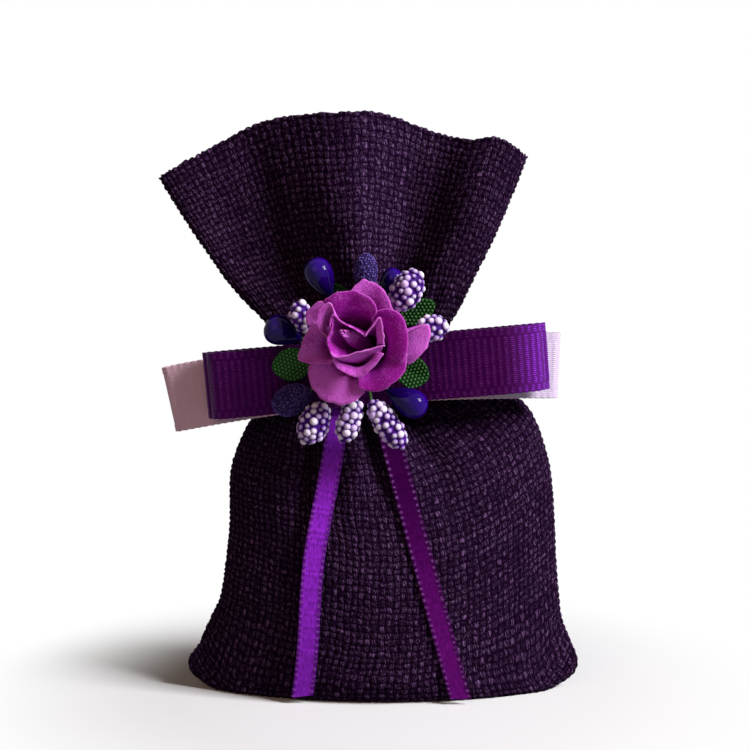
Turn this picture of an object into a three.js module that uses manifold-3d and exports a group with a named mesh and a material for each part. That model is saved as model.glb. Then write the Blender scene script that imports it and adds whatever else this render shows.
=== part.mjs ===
// A lavender sachet: a burlap pouch stuffed with dried lavender and tied at the neck, dressed with
// two folded ribbon bows and a corsage of a paper rose, pips, buds and leaves.
// Millimetres and degrees. +Z is up, -Y is the front, and the origin is the middle of the flat base.

import * as THREE from 'three';
import { mergeVertices } from 'three/addons/utils/BufferGeometryUtils.js';
import Module from 'manifold-3d';

const { lerp, smoothstep, degToRad } = THREE.MathUtils;
const UP = new THREE.Vector3(0, 0, 1);

// Fits
const CLEARANCE = 0.3; // between pieces that touch

// Pouch body, to the inner face of its cloth
const CLOTH = 1; // thickness of the burlap
const NECK_HEIGHT = 79; // foot of the neck, above the floor
const NECK_LENGTH = 6; // length of the gathered neck
const NECK_WIDTH = 29.5;
const NECK_DEPTH = 11;
const NECK_OFFSET = -6.75; // the neck leans to the left of the base's middle
const SHOULDER_WIDTH = 74;
const BODY_WIDTH = 81;
const BODY_OFFSET = 2.4; // the body sags to the right
const FRONT_BULGE = 18; // front belly, from the seam plane
const BACK_BULGE = 15;
const BASE_DEPTH = 26; // flat base, front to back
const BASE_SEAM = 5; // the seam under the base lies this far behind its middle
const CORNER_SPAN = 97.6; // between the two sewn bottom corners
const CORNER_HEIGHT = 4; // the corners curl up off the floor
const PLEAT_DEPTH = 1.6; // gathers below the neck
const PLEAT_COUNT = 2.5; // gathers across half the width
const PLEAT_CREST = 0.2; // where the main gather stands, as a share of half the width
const FLAT_SHARE = 0.8; // share of the base's half width that lies flat on the floor

// Side seam below the neck: shares of the neck's height, and of the way from one width to the next
const SEAM_HEIGHTS = { shoulderTop: 0.93, shoulder: 0.8, middle: 0.42, hip: 0.22, heel: 0.12 };
const SEAM_WIDTHS = { shoulderTop: 0.74, hip: 0.24, heel: 0.8 };
const SEAM_SAG = { hip: 0.65, heel: 0.35 }; // shares of the body's offset

// Belly below the neck: shares of the way from the neck's depth to the bulge, and of the neck's height
const BELLY = [[0.17, 0.94], [0.62, 0.78], [0.93, 0.5], [1, 0.31], [0.92, 0.11]];

// Pouch mouth: a fan of cloth above the neck
const MOUTH_RADIUS = 66; // from the neck's middle to the mouth's corners
const MOUTH_SPREAD = 85; // angle of the fan
const MOUTH_MIDDLE = 93; // direction of the fan's middle, from the right
const MOUTH_GAPE = 7; // opening between the two panels at the rim
const MOUTH_LEAN = 5; // the rim leans back
const RIM_DIP = 3.6; // the rim's middle is nearer the neck than its corners
const RIM_WAVE = 1.6; // the rim sinks over the right-hand fold and swells to the left of it
const RIM_LOW = 0.54; // where it sinks, as a share of half the width
const LEFT_PEAK = 1.6; // how far the rim's left corner stands up
const RIGHT_PEAK = 3.2;
const LEFT_BOW = 2.2; // how far the fan's left side bows out
const RIGHT_BOW = 3.4;
const FOLD_DEPTH = 8.5; // folds of the fan, middle to crest

// Folds of the fan from its left seam to its right one: place as a share of half the width, and how far
// the cloth stands forward there as a share of their depth
const FOLDS = [
  [-1, 0.1],
  [-0.6, 0.2],
  [-0.1, -1.4],
  [0.16, 0.7],
  [0.3, 0.85],
  [0.52, -0.9],
  [0.75, -0.3],
  [1, 0.45],
];

// Lavender
const FILL_INSET = 2; // the loose buds stand off the cloth
const FILL_EDGE = 0.86; // the buds stop short of the side seams, as a share of half the width
const FILL_SOLE = 0.6; // share of the base that the buds rest on

// Satin tie: a turn round the neck, a knot and two tails
const SATIN_WIDTH = 6;
const SATIN_THICKNESS = 0.5;
const TURN_WIDTH = 4; // the ribbon is bunched where it goes round the neck
const TURN_THICKNESS = 0.8;
const KNOT_WIDTH = 10;
const KNOT_HEIGHT = 8;
const KNOT_DEPTH = 3.4;
const KNOT_OFFSET = 1; // to the right of the neck's middle
const TAIL_ROOT_SPACING = 6.8; // between the tails' middles at the knot
const LEFT_TAIL_FOOT = -19.2; // where the left tail's end hangs, to the right of the base's middle
const RIGHT_TAIL_FOOT = 19.6;
const TAIL_FLOOR_GAP = 1.6; // the tails' cut ends hang just clear of the floor
const TAIL_CUT = 1.4; // slant of the cut ends, edge to edge
const TAIL_DROP = 2.5; // the tails come free this far below the lowest bud

// Grosgrain bows
const GROSGRAIN_WIDTH = 16;
const GROSGRAIN_THICKNESS = 0.5;
const BOW_WAIST = 12; // the loops lie flat together over this length, under the corsage
const LILAC_LEFT = 46.4; // reach of the left loop, from the corsage's middle
const LILAC_RIGHT = 47.4;
const LILAC_TILT = 0.088; // rise for each millimetre to the right
const LILAC_DROOP = 0.0011; // fall for each square millimetre from the middle
const LILAC_LOOP = 2.6; // how far the loops puff out behind
const PURPLE_LEFT = 38;
const PURPLE_RIGHT = 45;
const PURPLE_TILT = 0.1;
const PURPLE_DROOP = 0.0002;
const PURPLE_LOOP = 3; // how far the loops puff out in front

// Corsage: its middle, and heights that are measured forward from the front of the purple bow
const CORSAGE_MIDDLE = -4.8;
const CORSAGE_RISE = 7.5; // its stems meet this far above the bow's middle
const PAD_RADIUS = 4.2;
const PAD_DROP = 2.6; // the pad of glue sits lower than the stems
const PAD_DEPTH = 1;
const BINDING_RADIUS = 4;
const BINDING_LENGTH = 4.6;
const STEM_RADIUS = 1;
const WIRE_RADIUS = 0.3;
const BACK_LEVEL = 5.2; // height of the buds that lie at the back
const FRONT_LEVEL = 8.8; // height of the buds that lie in front
const DEEP_LEVEL = 3; // height of the pip that a bud half hides
const LEAF_LEVEL = 3.6;
const LEAF_THICKNESS = 0.6;

// Paper rose
const PAPER = 0.5;
const PETAL_GAP = 0.35; // between petals of one whorl, where they overlap
const ROSE_BASE_RADIUS = 7.8;
const ROSE_BASE_DEPTH = 1.7;
const ROSE_LEAN = [-6.3, 5]; // the heart of the rose leans left and up
const ROSE_SHIFT = [1.6, -0.6];
const HEART_HEIGHT = 14;
const HEART_RADIUS = 2.3;

// Each whorl's petal runs from its glued foot to its lip along a curve of radius and height
const WHORLS = [
  {
    name: 'inner',
    count: 4,
    start: 12,
    halfAngle: 60,
    curve: [[3.4, 0], [5.8, 2], [5.4, 10], [6.8, 13.6]],
  },
  {
    name: 'middle',
    count: 5,
    start: -52,
    halfAngle: 50,
    curve: [[4.9, 0], [9.6, 1.2], [8.4, 9.4], [12.4, 10.4]],
  },
  {
    name: 'outer',
    count: 5,
    start: -18,
    halfAngle: 52,
    curve: [[7, 0], [12, 0.2], [11, 6.8], [15.2, 6.3]],
  },
];

// Each bud, from its root to its tip in the corsage's own plane, right and up from its middle
const [FRONT, BACK, DEEP] = [FRONT_LEVEL, BACK_LEVEL, DEEP_LEVEL];
const BUDS = [
  { name: 'glossy_pip_1', kind: 'pip', root: [-7.1, 10.9], tip: [-11.8, 20.2], width: 6.6, level: FRONT },
  { name: 'glossy_pip_2', kind: 'pip', root: [-14.2, 0.9], tip: [-23.1, 4.5], width: 7.2, level: BACK },
  { name: 'glossy_pip_3', kind: 'pip', root: [4.1, 11.4], tip: [9, 17.2], width: 5.4, level: DEEP },
  { name: 'glossy_pip_4', kind: 'pip', root: [5.4, -10.7], tip: [15.2, -15.6], width: 6.8, level: FRONT },
  { name: 'beaded_bud_1', kind: 'beaded', root: [8.1, 7.8], tip: [13.1, 18], width: 8, level: FRONT },
  { name: 'beaded_bud_2', kind: 'beaded', root: [12.2, 3.4], tip: [20.8, 4.5], width: 6.8, level: FRONT },
  { name: 'beaded_bud_3', kind: 'beaded', root: [-13.5, 2.4], tip: [-15.4, 11.3], width: 5.4, level: FRONT },
  {
    name: 'beaded_bud_4',
    kind: 'beaded',
    root: [-9.3, -14.3],
    tip: [-13.9, -23.9],
    width: 7.8,
    level: FRONT,
  },
  { name: 'beaded_bud_5', kind: 'beaded', root: [-1.5, -13], tip: [-4.6, -23.9], width: 6.4, level: FRONT },
  { name: 'beaded_bud_6', kind: 'beaded', root: [1.8, -13.6], tip: [10.3, -25.2], width: 6.6, level: FRONT },
  { name: 'frosted_bud_1', kind: 'frosted', root: [0.8, 12.6], tip: [1, 21.7], width: 5.8, level: FRONT },
  {
    name: 'frosted_bud_2',
    kind: 'frosted',
    root: [-12.1, -11.4],
    tip: [-21.5, -15.6],
    width: 7.6,
    level: BACK,
  },
];

// Each leaf, from the end of its stalk to its tip
const LEAVES = [
  { name: 'leaf_1', root: [-11, -3.8], tip: [-21.5, -5.9], width: 8 },
  { name: 'leaf_2', root: [7.4, -5.2], tip: [15.8, -8.3], width: 7.6 },
  { name: 'leaf_3', root: [8.2, 4.8], tip: [17.1, 9.7], width: 6 },
  { name: 'leaf_4', root: [-3.4, 8], tip: [-7.6, 14], width: 4.6 },
];

// Facets
const EDGE_CROWDING = 0.5; // how much a sheet's columns crowd towards its edges
const PANEL_COLUMNS = 24;
const FLARE_ROWS = 6;
const BODY_ROWS = 12; // from the neck to the edge of the base
const BASE_ROWS = 2; // from there to the seam
const PETAL_COLUMNS = 7;
const PETAL_ROWS = 6;
const LEAF_COLUMNS = 6;
const LEAF_ROWS = 6;

// Heights and depths that follow from the sizes above
const SEAM = CLEARANCE / 2; // half the gap between the two panels
const NECK_MIDDLE = NECK_HEIGHT + NECK_LENGTH / 2;
const NECK_TOP = NECK_HEIGHT + NECK_LENGTH;
const TURN_FRONT = -(NECK_DEPTH / 2 + SEAM + CLOTH + CLEARANCE + TURN_THICKNESS);
const KNOT_BACK = TURN_FRONT - CLEARANCE;
const LAYER_STEP = GROSGRAIN_THICKNESS + CLEARANCE;
const LILAC_BACK_LAYER = KNOT_BACK - KNOT_DEPTH - CLEARANCE - GROSGRAIN_THICKNESS / 2;
const LILAC_FRONT_LAYER = LILAC_BACK_LAYER - LAYER_STEP;
const PURPLE_BACK_LAYER = LILAC_FRONT_LAYER - LAYER_STEP;
const BOW_FRONT = PURPLE_BACK_LAYER - LAYER_STEP - GROSGRAIN_THICKNESS / 2;
const PAD_BASE = CLEARANCE;
const BINDING_BASE = PAD_BASE + PAD_DEPTH + CLEARANCE;
const ROSE_BASE = BINDING_BASE + BINDING_LENGTH + CLEARANCE;
const PETAL_BASE = ROSE_BASE + ROSE_BASE_DEPTH + CLEARANCE;
const CORSAGE_HEIGHT = NECK_MIDDLE + CORSAGE_RISE;
const LOWEST_BUD = CORSAGE_HEIGHT + Math.min(...BUDS.map((bud) => bud.tip[1]));
const TAIL_PIVOT = LOWEST_BUD - TAIL_DROP;

const wasm = await Module();
wasm.setup();

// Materials
function finish(color, roughness, metalness = 0) {
  return new THREE.MeshStandardMaterial({ color, roughness, metalness });
}

function piece(name, geometry, material) {
  const mesh = new THREE.Mesh(geometry, material);
  mesh.name = name;
  return mesh;
}

// A closed solid from points and triangles, turned so that its faces point out.
function closedGeometry(points, triangles) {
  let volume = 0;
  for (const [a, b, c] of triangles) {
    volume += points[a].dot(new THREE.Vector3().crossVectors(points[b], points[c]));
  }
  const order = volume > 0 ? triangles : triangles.map(([a, b, c]) => [a, c, b]);
  const geometry = new THREE.BufferGeometry().setFromPoints(points);
  geometry.setIndex(order.flat());
  geometry.computeVertexNormals();
  return geometry;
}

// Two triangles for each cell between neighbouring rows of a grid of point numbers.
function gridTriangles(rows) {
  const triangles = [];
  for (let i = 0; i + 1 < rows.length; i += 1) {
    for (let j = 0; j + 1 < rows[i].length; j += 1) {
      const [a, b] = [rows[i][j], rows[i][j + 1]];
      const [c, d] = [rows[i + 1][j + 1], rows[i + 1][j]];
      triangles.push([a, b, c], [a, c, d]);
    }
  }
  return triangles;
}

// A sheet of even thickness on a surface(u, v), with u from -1 to 1 and v from 0 to 1.
function sheetGeometry(surface, columns, rows, thickness, flatten = (point) => point) {
  const step = 1e-3;
  const near = [];
  const far = [];
  for (let i = 0; i <= rows.length - 1; i += 1) {
    for (let j = 0; j <= columns; j += 1) {
      const even = (2 * j) / columns - 1;
      const u = lerp(even, Math.sin((even * Math.PI) / 2), EDGE_CROWDING);
      const v = rows[i];
      const [u0, u1] = [Math.max(u - step, -1), Math.min(u + step, 1)];
      const [v0, v1] = [Math.max(v - step, 0), Math.min(v + step, 1)];
      const along = surface(u1, v).sub(surface(u0, v));
      const down = surface(u, v1).sub(surface(u, v0));
      const normal = along.cross(down).normalize();
      const point = surface(u, v);
      near.push(point);
      far.push(flatten(point.clone().addScaledVector(normal, thickness)));
    }
  }
  const count = near.length;
  const wide = columns + 1;
  const grid = rows.map((_, i) => Array.from({ length: wide }, (_, j) => i * wide + j));
  const lifted = grid.map((row) => row.map((k) => k + count));
  const rim = [
    ...grid[0],
    ...grid.slice(1).map((row) => row[columns]),
    ...grid[grid.length - 1].slice(0, columns).reverse(),
    ...grid.slice(1, -1).map((row) => row[0]).reverse(),
  ];
  rim.push(rim[0]);
  const triangles = [
    ...gridTriangles(grid),
    ...gridTriangles(lifted.map((row) => [...row].reverse())),
    ...gridTriangles([rim.map((k) => k + count), rim]),
  ];
  return closedGeometry([...near, ...far], triangles);
}

// Even steps from 0 to 1.
function evenSteps(count) {
  return Array.from({ length: count + 1 }, (_, i) => i / count);
}

// A ribbon of rectangular section along points, with its width along across(i) at each one.
function ribbonGeometry(path, across, width, thickness, { closed = false, slant = 0 } = {}) {
  const last = path.length - 1;
  const points = [];
  path.forEach((point, i) => {
    const before = path[closed ? (i + last) % path.length : Math.max(i - 1, 0)];
    const after = path[closed ? (i + 1) % path.length : Math.min(i + 1, last)];
    const tangent = after.clone().sub(before).normalize();
    const side = across(tangent, i).normalize();
    const normal = new THREE.Vector3().crossVectors(side, tangent).normalize();
    const cut = !closed && i === last ? slant / 2 : 0;
    for (const [edge, face] of [[-1, -1], [1, -1], [1, 1], [-1, 1]]) {
      points.push(point.clone()
        .addScaledVector(side, (edge * width) / 2)
        .addScaledVector(normal, (face * thickness) / 2)
        .addScaledVector(tangent, edge * cut));
    }
  });
  const rings = path.map((_, i) => [0, 1, 2, 3, 0].map((k) => 4 * i + k));
  if (closed) rings.push(rings[0]);
  const triangles = gridTriangles(rings);
  if (!closed) {
    const end = 4 * last;
    triangles.push([2, 1, 0], [3, 2, 0], [end, end + 1, end + 2], [end, end + 2, end + 3]);
  }
  return closedGeometry(points, triangles);
}

// A solid through closed rings of points, ended at each end by a point in the middle of its ring.
function ringsGeometry(rings) {
  const sides = rings[0].length;
  const middle = (ring) => ring.reduce((sum, p) => sum.add(p), new THREE.Vector3()).divideScalar(sides);
  const points = [...rings.flat(), middle(rings[0]), middle(rings[rings.length - 1])];
  const turn = Array.from({ length: sides + 1 }, (_, j) => j % sides);
  const numbers = rings.map((_, i) => turn.map((j) => i * sides + j));
  const triangles = gridTriangles(numbers);
  const foot = rings.length * sides;
  const lastRing = numbers[numbers.length - 1];
  for (let j = 0; j < sides; j += 1) {
    triangles.push([foot, numbers[0][j + 1], numbers[0][j]]);
    triangles.push([foot + 1, lastRing[j], lastRing[j + 1]]);
  }
  return closedGeometry(points, triangles);
}

// A round wire through points.
function wireGeometry(points, radius) {
  const sides = 6;
  const section = new THREE.Shape(evenSteps(sides).slice(1).map((share) => {
    const angle = share * 2 * Math.PI;
    return new THREE.Vector2(radius * Math.cos(angle), radius * Math.sin(angle));
  }));
  const extrudePath = new THREE.CatmullRomCurve3(points);
  return new THREE.ExtrudeGeometry(section, { steps: 4, extrudePath });
}

function manifoldOf(geometry) {
  const bare = geometry.clone();
  bare.deleteAttribute('normal');
  bare.deleteAttribute('uv');
  const merged = mergeVertices(bare);
  return new wasm.Manifold(new wasm.Mesh({
    numProp: 3,
    vertProperties: new Float32Array(merged.attributes.position.array),
    triVerts: new Uint32Array(merged.index.array),
  }));
}

function joinedGeometry(...geometries) {
  const mesh = geometries.map(manifoldOf).reduce((whole, part) => whole.add(part)).getMesh();
  const geometry = new THREE.BufferGeometry();
  geometry.setAttribute('position', new THREE.BufferAttribute(mesh.vertProperties, 3));
  geometry.setIndex(new THREE.BufferAttribute(mesh.triVerts, 1));
  geometry.computeVertexNormals();
  return geometry;
}

// The side seam, from the foot of the neck down to the bottom corner. Side is -1 left and 1 right.
function sideSeam(side) {
  const at = (width, offset, height) => new THREE.Vector3(offset + (side * width) / 2, 0, height);
  const high = (place) => SEAM_HEIGHTS[place] * NECK_HEIGHT;
  const shoulderTop = lerp(NECK_WIDTH, SHOULDER_WIDTH, SEAM_WIDTHS.shoulderTop);
  const hip = lerp(BODY_WIDTH, CORNER_SPAN, SEAM_WIDTHS.hip);
  const heel = lerp(BODY_WIDTH, CORNER_SPAN, SEAM_WIDTHS.heel);
  return new THREE.CatmullRomCurve3([
    at(NECK_WIDTH, NECK_OFFSET, NECK_HEIGHT),
    at(shoulderTop, BODY_OFFSET, high('shoulderTop')),
    at(SHOULDER_WIDTH, BODY_OFFSET, high('shoulder')),
    at(BODY_WIDTH, BODY_OFFSET, high('middle')),
    at(hip, SEAM_SAG.hip * BODY_OFFSET, high('hip')),
    at(heel, SEAM_SAG.heel * BODY_OFFSET, high('heel')),
    at(CORNER_SPAN, 0, CORNER_HEIGHT),
  ], false, 'centripetal');
}

// The middle of a panel, from the foot of the neck down to the seam under the base: x is its depth.
function bellyLine(bulge) {
  const at = (x, height) => new THREE.Vector3(x, 0, height);
  return new THREE.CatmullRomCurve3([
    at(NECK_DEPTH / 2, NECK_HEIGHT),
    ...BELLY.map(([deep, high]) => at(lerp(NECK_DEPTH / 2, bulge, deep), high * NECK_HEIGHT)),
    at(BASE_DEPTH / 2, CLOTH),
    at(0, CLOTH),
  ], false, 'centripetal');
}

const LEFT_SEAM = sideSeam(-1);
const RIGHT_SEAM = sideSeam(1);
const BELLIES = { front: bellyLine(FRONT_BULGE), back: bellyLine(BACK_BULGE) };
const FACING = { front: -1, back: 1 };

// A point of the body's inner face: s runs from the left seam to the right, t from the neck to the base.
function bodyPoint(face, s, t) {
  const belly = BELLIES[face].getPointAt(t);
  const left = LEFT_SEAM.getPointAt(t);
  const right = RIGHT_SEAM.getPointAt(t);
  const lifted = Math.max(0, (Math.abs(s) - FLAT_SHARE) / (1 - FLAT_SHARE)) ** 2;
  const rise = lerp(s * s, lifted, smoothstep(t, 0.68, 0.86));
  const seam = s < 0 ? left : right;
  const fullness = 0.5 + 0.1 * smoothstep(t, 0, 0.3) + 0.3 * smoothstep(t, 0.6, 0.95);
  const lens = Math.max(0, 1 - s * s) ** fullness;
  const gathered = smoothstep(t, 0, 0.1) * (1 - smoothstep(t, 0.12, 0.45)) * (1 - s * s);
  const under = BASE_SEAM * smoothstep(t, 0.85, 1) * (1 - s * s);
  const pleat = PLEAT_DEPTH * gathered * Math.cos(2 * Math.PI * PLEAT_COUNT * (s - PLEAT_CREST));
  return new THREE.Vector3(
    lerp(left.x, right.x, (s + 1) / 2),
    FACING[face] * (SEAM + belly.x * lens + pleat) + under,
    Math.max(CLOTH, lerp(belly.z, seam.z, rise)),
  );
}

// A point of the neck's inner face: t runs from its top down to its foot.
function neckPoint(face, s, t) {
  const lens = Math.sqrt(Math.max(0, 1 - s * s));
  return new THREE.Vector3(
    NECK_OFFSET + (s * NECK_WIDTH) / 2,
    FACING[face] * (SEAM + (NECK_DEPTH / 2) * lens),
    lerp(NECK_TOP, NECK_HEIGHT, t),
  );
}

// How far forward the fan's folds stand at s, as a share of their depth.
function foldAt(s) {
  const next = FOLDS.findIndex(([place], i) => i > 0 && s <= place);
  const [[from, low], [to, high]] = [FOLDS[next - 1], FOLDS[next]];
  return lerp(low, high, smoothstep(s, from, to));
}

// A point of the fan's inner face: t runs from the neck up to the rim.
function mouthPoint(face, s, t) {
  const root = neckPoint(face, s, 0);
  const angle = degToRad(MOUTH_MIDDLE - (s * MOUTH_SPREAD) / 2);
  const peak = s < 0 ? LEFT_PEAK * smoothstep(-s, 0.75, 1) : RIGHT_PEAK * smoothstep(s, 0.6, 0.85);
  const swell = Math.cos(Math.PI * (s - RIM_LOW));
  const reach = MOUTH_RADIUS - RIM_DIP * (1 - s * s) - RIM_WAVE * swell + peak;
  const bow = (s < 0 ? -LEFT_BOW : RIGHT_BOW) * s * s * Math.sin(Math.PI * t ** 0.8);
  const lens = Math.sqrt(Math.max(0, 1 - s * s));
  const gape = lerp(NECK_DEPTH / 2, MOUTH_GAPE / 2, smoothstep(t, 0, 0.6));
  const wave = MOUTH_LEAN * t - FOLD_DEPTH * foldAt(s) * smoothstep(t, 0, 0.8);
  return new THREE.Vector3(
    lerp(root.x, NECK_OFFSET + reach * Math.cos(angle), t) + bow,
    wave + FACING[face] * (SEAM + gape * lens),
    lerp(root.z, NECK_MIDDLE + reach * Math.sin(angle), t),
  );
}

// A whole panel: v runs from the rim through the neck, between these two shares, to the base.
const PANEL_NECK = [0.4, 0.44];

function panelPoint(face, s, v) {
  const [top, foot] = PANEL_NECK;
  if (v < top) return mouthPoint(face, s, 1 - v / top);
  if (v < foot) return neckPoint(face, s, (v - top) / (foot - top));
  return bodyPoint(face, s, (v - foot) / (1 - foot));
}

function pouchPanel(face, burlap) {
  const [top, foot] = PANEL_NECK;
  const edge = 1 - BASE_DEPTH / 2 / BELLIES[face].getLength();
  const rows = [
    ...evenSteps(FLARE_ROWS).map((share) => share * top),
    ...evenSteps(BODY_ROWS).map((share) => lerp(foot, 1, share * edge)),
    ...evenSteps(BASE_ROWS).slice(1).map((share) => lerp(foot, 1, lerp(edge, 1, share))),
  ];
  const surface = (s, v) => panelPoint(face, FACING[face] * s, v);
  const onFloor = (point) => {
    if (point.z < CLOTH / 2) point.z = 0;
    return point;
  };
  return piece(`pouch_${face}_panel`, sheetGeometry(surface, PANEL_COLUMNS, rows, CLOTH, onFloor), burlap);
}

// The loose lavender, a mass inside the body that rests on the base.
function lavenderFilling(lavender) {
  const levels = [0.14, 0.22, 0.32, 0.42, 0.52, 0.62, 0.71, 0.78];
  const shares = evenSteps(12).map((share) => FILL_EDGE * Math.sin((share - 0.5) * Math.PI));
  const inset = (face, s, t) => {
    const point = bodyPoint(face, s, t);
    point.y -= FACING[face] * FILL_INSET;
    return point;
  };
  const ring = (t) => [
    ...shares.map((s) => inset('front', s, t)),
    ...shares.map((s) => inset('back', -s, t)),
  ];
  const rings = levels.map(ring);
  const sole = ring(0.84).map(({ x, y }) => (
    new THREE.Vector3(FILL_SOLE * x, FILL_SOLE * y, CLOTH + CLEARANCE)));
  return piece('lavender_filling', ringsGeometry([...rings, sole]), lavender);
}

// The satin's turn round the neck, clear of the cloth by the usual gap.
function neckTie(satin) {
  const [a, b] = [NECK_WIDTH / 2, NECK_DEPTH / 2 + SEAM];
  const offset = CLOTH + CLEARANCE + TURN_THICKNESS / 2;
  const path = evenSteps(44).slice(1).map((share) => {
    const angle = share * 2 * Math.PI;
    const out = new THREE.Vector3(b * Math.cos(angle), a * Math.sin(angle), 0).normalize();
    const neck = new THREE.Vector3(NECK_OFFSET + a * Math.cos(angle), b * Math.sin(angle), NECK_MIDDLE);
    return neck.addScaledVector(out, offset);
  });
  const geometry = ribbonGeometry(path, () => UP.clone(), TURN_WIDTH, TURN_THICKNESS, { closed: true });
  return piece('neck_tie', geometry, satin);
}

// How far forward the pouch stands at (x, z), seen from the front.
function frontOf(panel, x, z) {
  const away = -10 * FRONT_BULGE;
  const ray = new THREE.Raycaster(new THREE.Vector3(x, away, z), new THREE.Vector3(0, 1, 0));
  const [hit] = ray.intersectObject(panel);
  return hit ? hit.point.y : 0;
}

// A satin ribbon's path down the front of the pouch, from one height to another. It leans on the belly
// and hangs straight down below it. Root and foot are the x at the knot and at the floor.
function satinPath(panel, { root, foot, from, to, start }) {
  const steps = 16;
  const stand = CLEARANCE + SATIN_THICKNESS / 2;
  const lean = (root - foot) / NECK_MIDDLE;
  let y = start;
  return evenSteps(steps).map((step) => {
    const z = lerp(from, to, step);
    const x = foot + lean * z;
    for (const share of evenSteps(8)) {
      const edge = (share - 0.5) * SATIN_WIDTH;
      y = Math.min(y, frontOf(panel, x + edge, z - lean * edge) - stand);
    }
    return new THREE.Vector3(x, y, z);
  });
}

// A ribbon that lies against the front keeps its width in the plane that faces forward.
function acrossFront(tangent) {
  return new THREE.Vector3(-tangent.z, 0, tangent.x);
}

const KNOT_X = NECK_OFFSET + KNOT_OFFSET;
const KNOT_Y = KNOT_BACK - KNOT_DEPTH / 2;
const TAILS = {
  left: { root: KNOT_X - TAIL_ROOT_SPACING / 2, foot: LEFT_TAIL_FOOT, slant: TAIL_CUT },
  right: { root: KNOT_X + TAIL_ROOT_SPACING / 2, foot: RIGHT_TAIL_FOOT, slant: -TAIL_CUT },
};

// The knot, with the two stretches of satin that the buds hold down.
function tieKnot(panel, satin) {
  const lump = new THREE.SphereGeometry(0.5, 16, 10);
  lump.scale(KNOT_WIDTH, KNOT_DEPTH, KNOT_HEIGHT);
  lump.translate(KNOT_X, KNOT_Y, NECK_MIDDLE);
  const leads = Object.values(TAILS).map(({ root, foot }) => {
    const to = TAIL_PIVOT + CLEARANCE;
    const path = satinPath(panel, { root, foot, from: NECK_MIDDLE, to, start: KNOT_Y });
    return ribbonGeometry(path, acrossFront, SATIN_WIDTH, SATIN_THICKNESS);
  });
  return piece('tie_knot', joinedGeometry(lump, ...leads), satin);
}

// A tail, free to swing forward from where it comes out below the buds.
function tail(side, panel, satin) {
  const { root, foot, slant } = TAILS[side];
  const held = satinPath(panel, { root, foot, from: NECK_MIDDLE, to: TAIL_PIVOT, start: KNOT_Y });
  const start = held[held.length - 1].y;
  const to = TAIL_FLOOR_GAP + TAIL_CUT / 2;
  const path = satinPath(panel, { root, foot, from: TAIL_PIVOT, to, start });
  const geometry = ribbonGeometry(path, acrossFront, SATIN_WIDTH, SATIN_THICKNESS, { slant });
  return piece(`${side}_tail`, geometry, satin);
}

// One loop's outline, from the waist out along the flat layer, round its end and back along the layer
// that puffs out. Sign is -1 for the left loop and 1 for the right, and puff -1 front and 1 back.
function loopOutline(sign, reach, loop, flat, puff) {
  const waist = BOW_WAIST / 2;
  const bend = 0.92 * reach;
  const swing = bend + (reach - bend) / 0.75;
  const pinched = flat + puff * LAYER_STEP;
  const open = pinched + puff * loop;
  const at = (x, y) => new THREE.Vector2(CORSAGE_MIDDLE + sign * x, y);
  const out = new THREE.LineCurve(at(0, flat), at(bend, flat)).getPoints(6);
  const round = new THREE.CubicBezierCurve(at(bend, flat), at(swing, flat), at(swing, open), at(bend, open));
  const home = new THREE.CubicBezierCurve(
    at(bend, open), at(0.6 * reach, open), at(0.45 * reach, pinched), at(waist, pinched));
  return [...out.slice(0, -1), ...round.getPoints(8).slice(0, -1), ...home.getPoints(8)];
}

// A bow folded from one closed strip, with a flat layer and a layer that puffs out into two loops.
function bow(name, { left, right, tilt, droop, loop, flat, puff }, grosgrain) {
  const outline = [
    ...loopOutline(1, right, loop, flat, puff),
    ...loopOutline(-1, left, loop, flat, puff).slice(1).reverse(),
  ];
  const path = outline.map(({ x, y }) => {
    const away = x - CORSAGE_MIDDLE;
    return new THREE.Vector3(x, y, NECK_MIDDLE + tilt * away - droop * away * away);
  });
  const across = (tangent, i) => {
    const slope = tilt - 2 * droop * (path[i].x - CORSAGE_MIDDLE);
    return new THREE.Vector3(-slope, 0, 1);
  };
  const geometry = ribbonGeometry(path, across, GROSGRAIN_WIDTH, GROSGRAIN_THICKNESS, { closed: true });
  return piece(name, geometry, grosgrain);
}

// A pad of glue, domed towards its rim, in the corsage's frame.
function gluePad(glue) {
  const rim = 0.8 * PAD_RADIUS;
  const profile = [[0, 0], [rim, 0], [PAD_RADIUS, PAD_DEPTH / 2], [rim, PAD_DEPTH], [0, PAD_DEPTH]];
  const pad = piece('glue_pad', latheGeometry(profile, 18), glue);
  pad.position.set(0, -PAD_DROP, PAD_BASE);
  return pad;
}

// A turned solid with its axis along Z.
function latheGeometry(profile, sides) {
  const geometry = new THREE.LatheGeometry(profile.map(([x, y]) => new THREE.Vector2(x, y)), sides);
  geometry.rotateX(Math.PI / 2);
  return geometry;
}

// Floral tape wound round the stems, with the rose's stem through it.
function stemBinding(tape) {
  const bore = STEM_RADIUS + CLEARANCE;
  const neck = 0.9 * BINDING_RADIUS;
  const profile = [
    [bore, 0], [neck, 0], [BINDING_RADIUS, 0.25 * BINDING_LENGTH],
    [BINDING_RADIUS, 0.75 * BINDING_LENGTH], [neck, BINDING_LENGTH], [bore, BINDING_LENGTH], [bore, 0],
  ];
  const binding = piece('stem_binding', latheGeometry(profile, 20), tape);
  binding.position.z = BINDING_BASE;
  return binding;
}

function roseStem(wire) {
  const profile = [[0, 0], [STEM_RADIUS, 0], [STEM_RADIUS, BINDING_LENGTH], [0, BINDING_LENGTH]];
  const stem = piece('rose_stem', latheGeometry(profile, 10), wire);
  stem.position.z = BINDING_BASE;
  return stem;
}

// The paper disc that the petals are glued to.
function roseBase(leaf) {
  const foot = 0.6 * ROSE_BASE_RADIUS;
  const profile = [[0, 0], [foot, 0], [ROSE_BASE_RADIUS, ROSE_BASE_DEPTH], [0, ROSE_BASE_DEPTH]];
  const base = piece('rose_base', latheGeometry(profile, 20), leaf);
  base.position.z = ROSE_BASE;
  return base;
}

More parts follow.
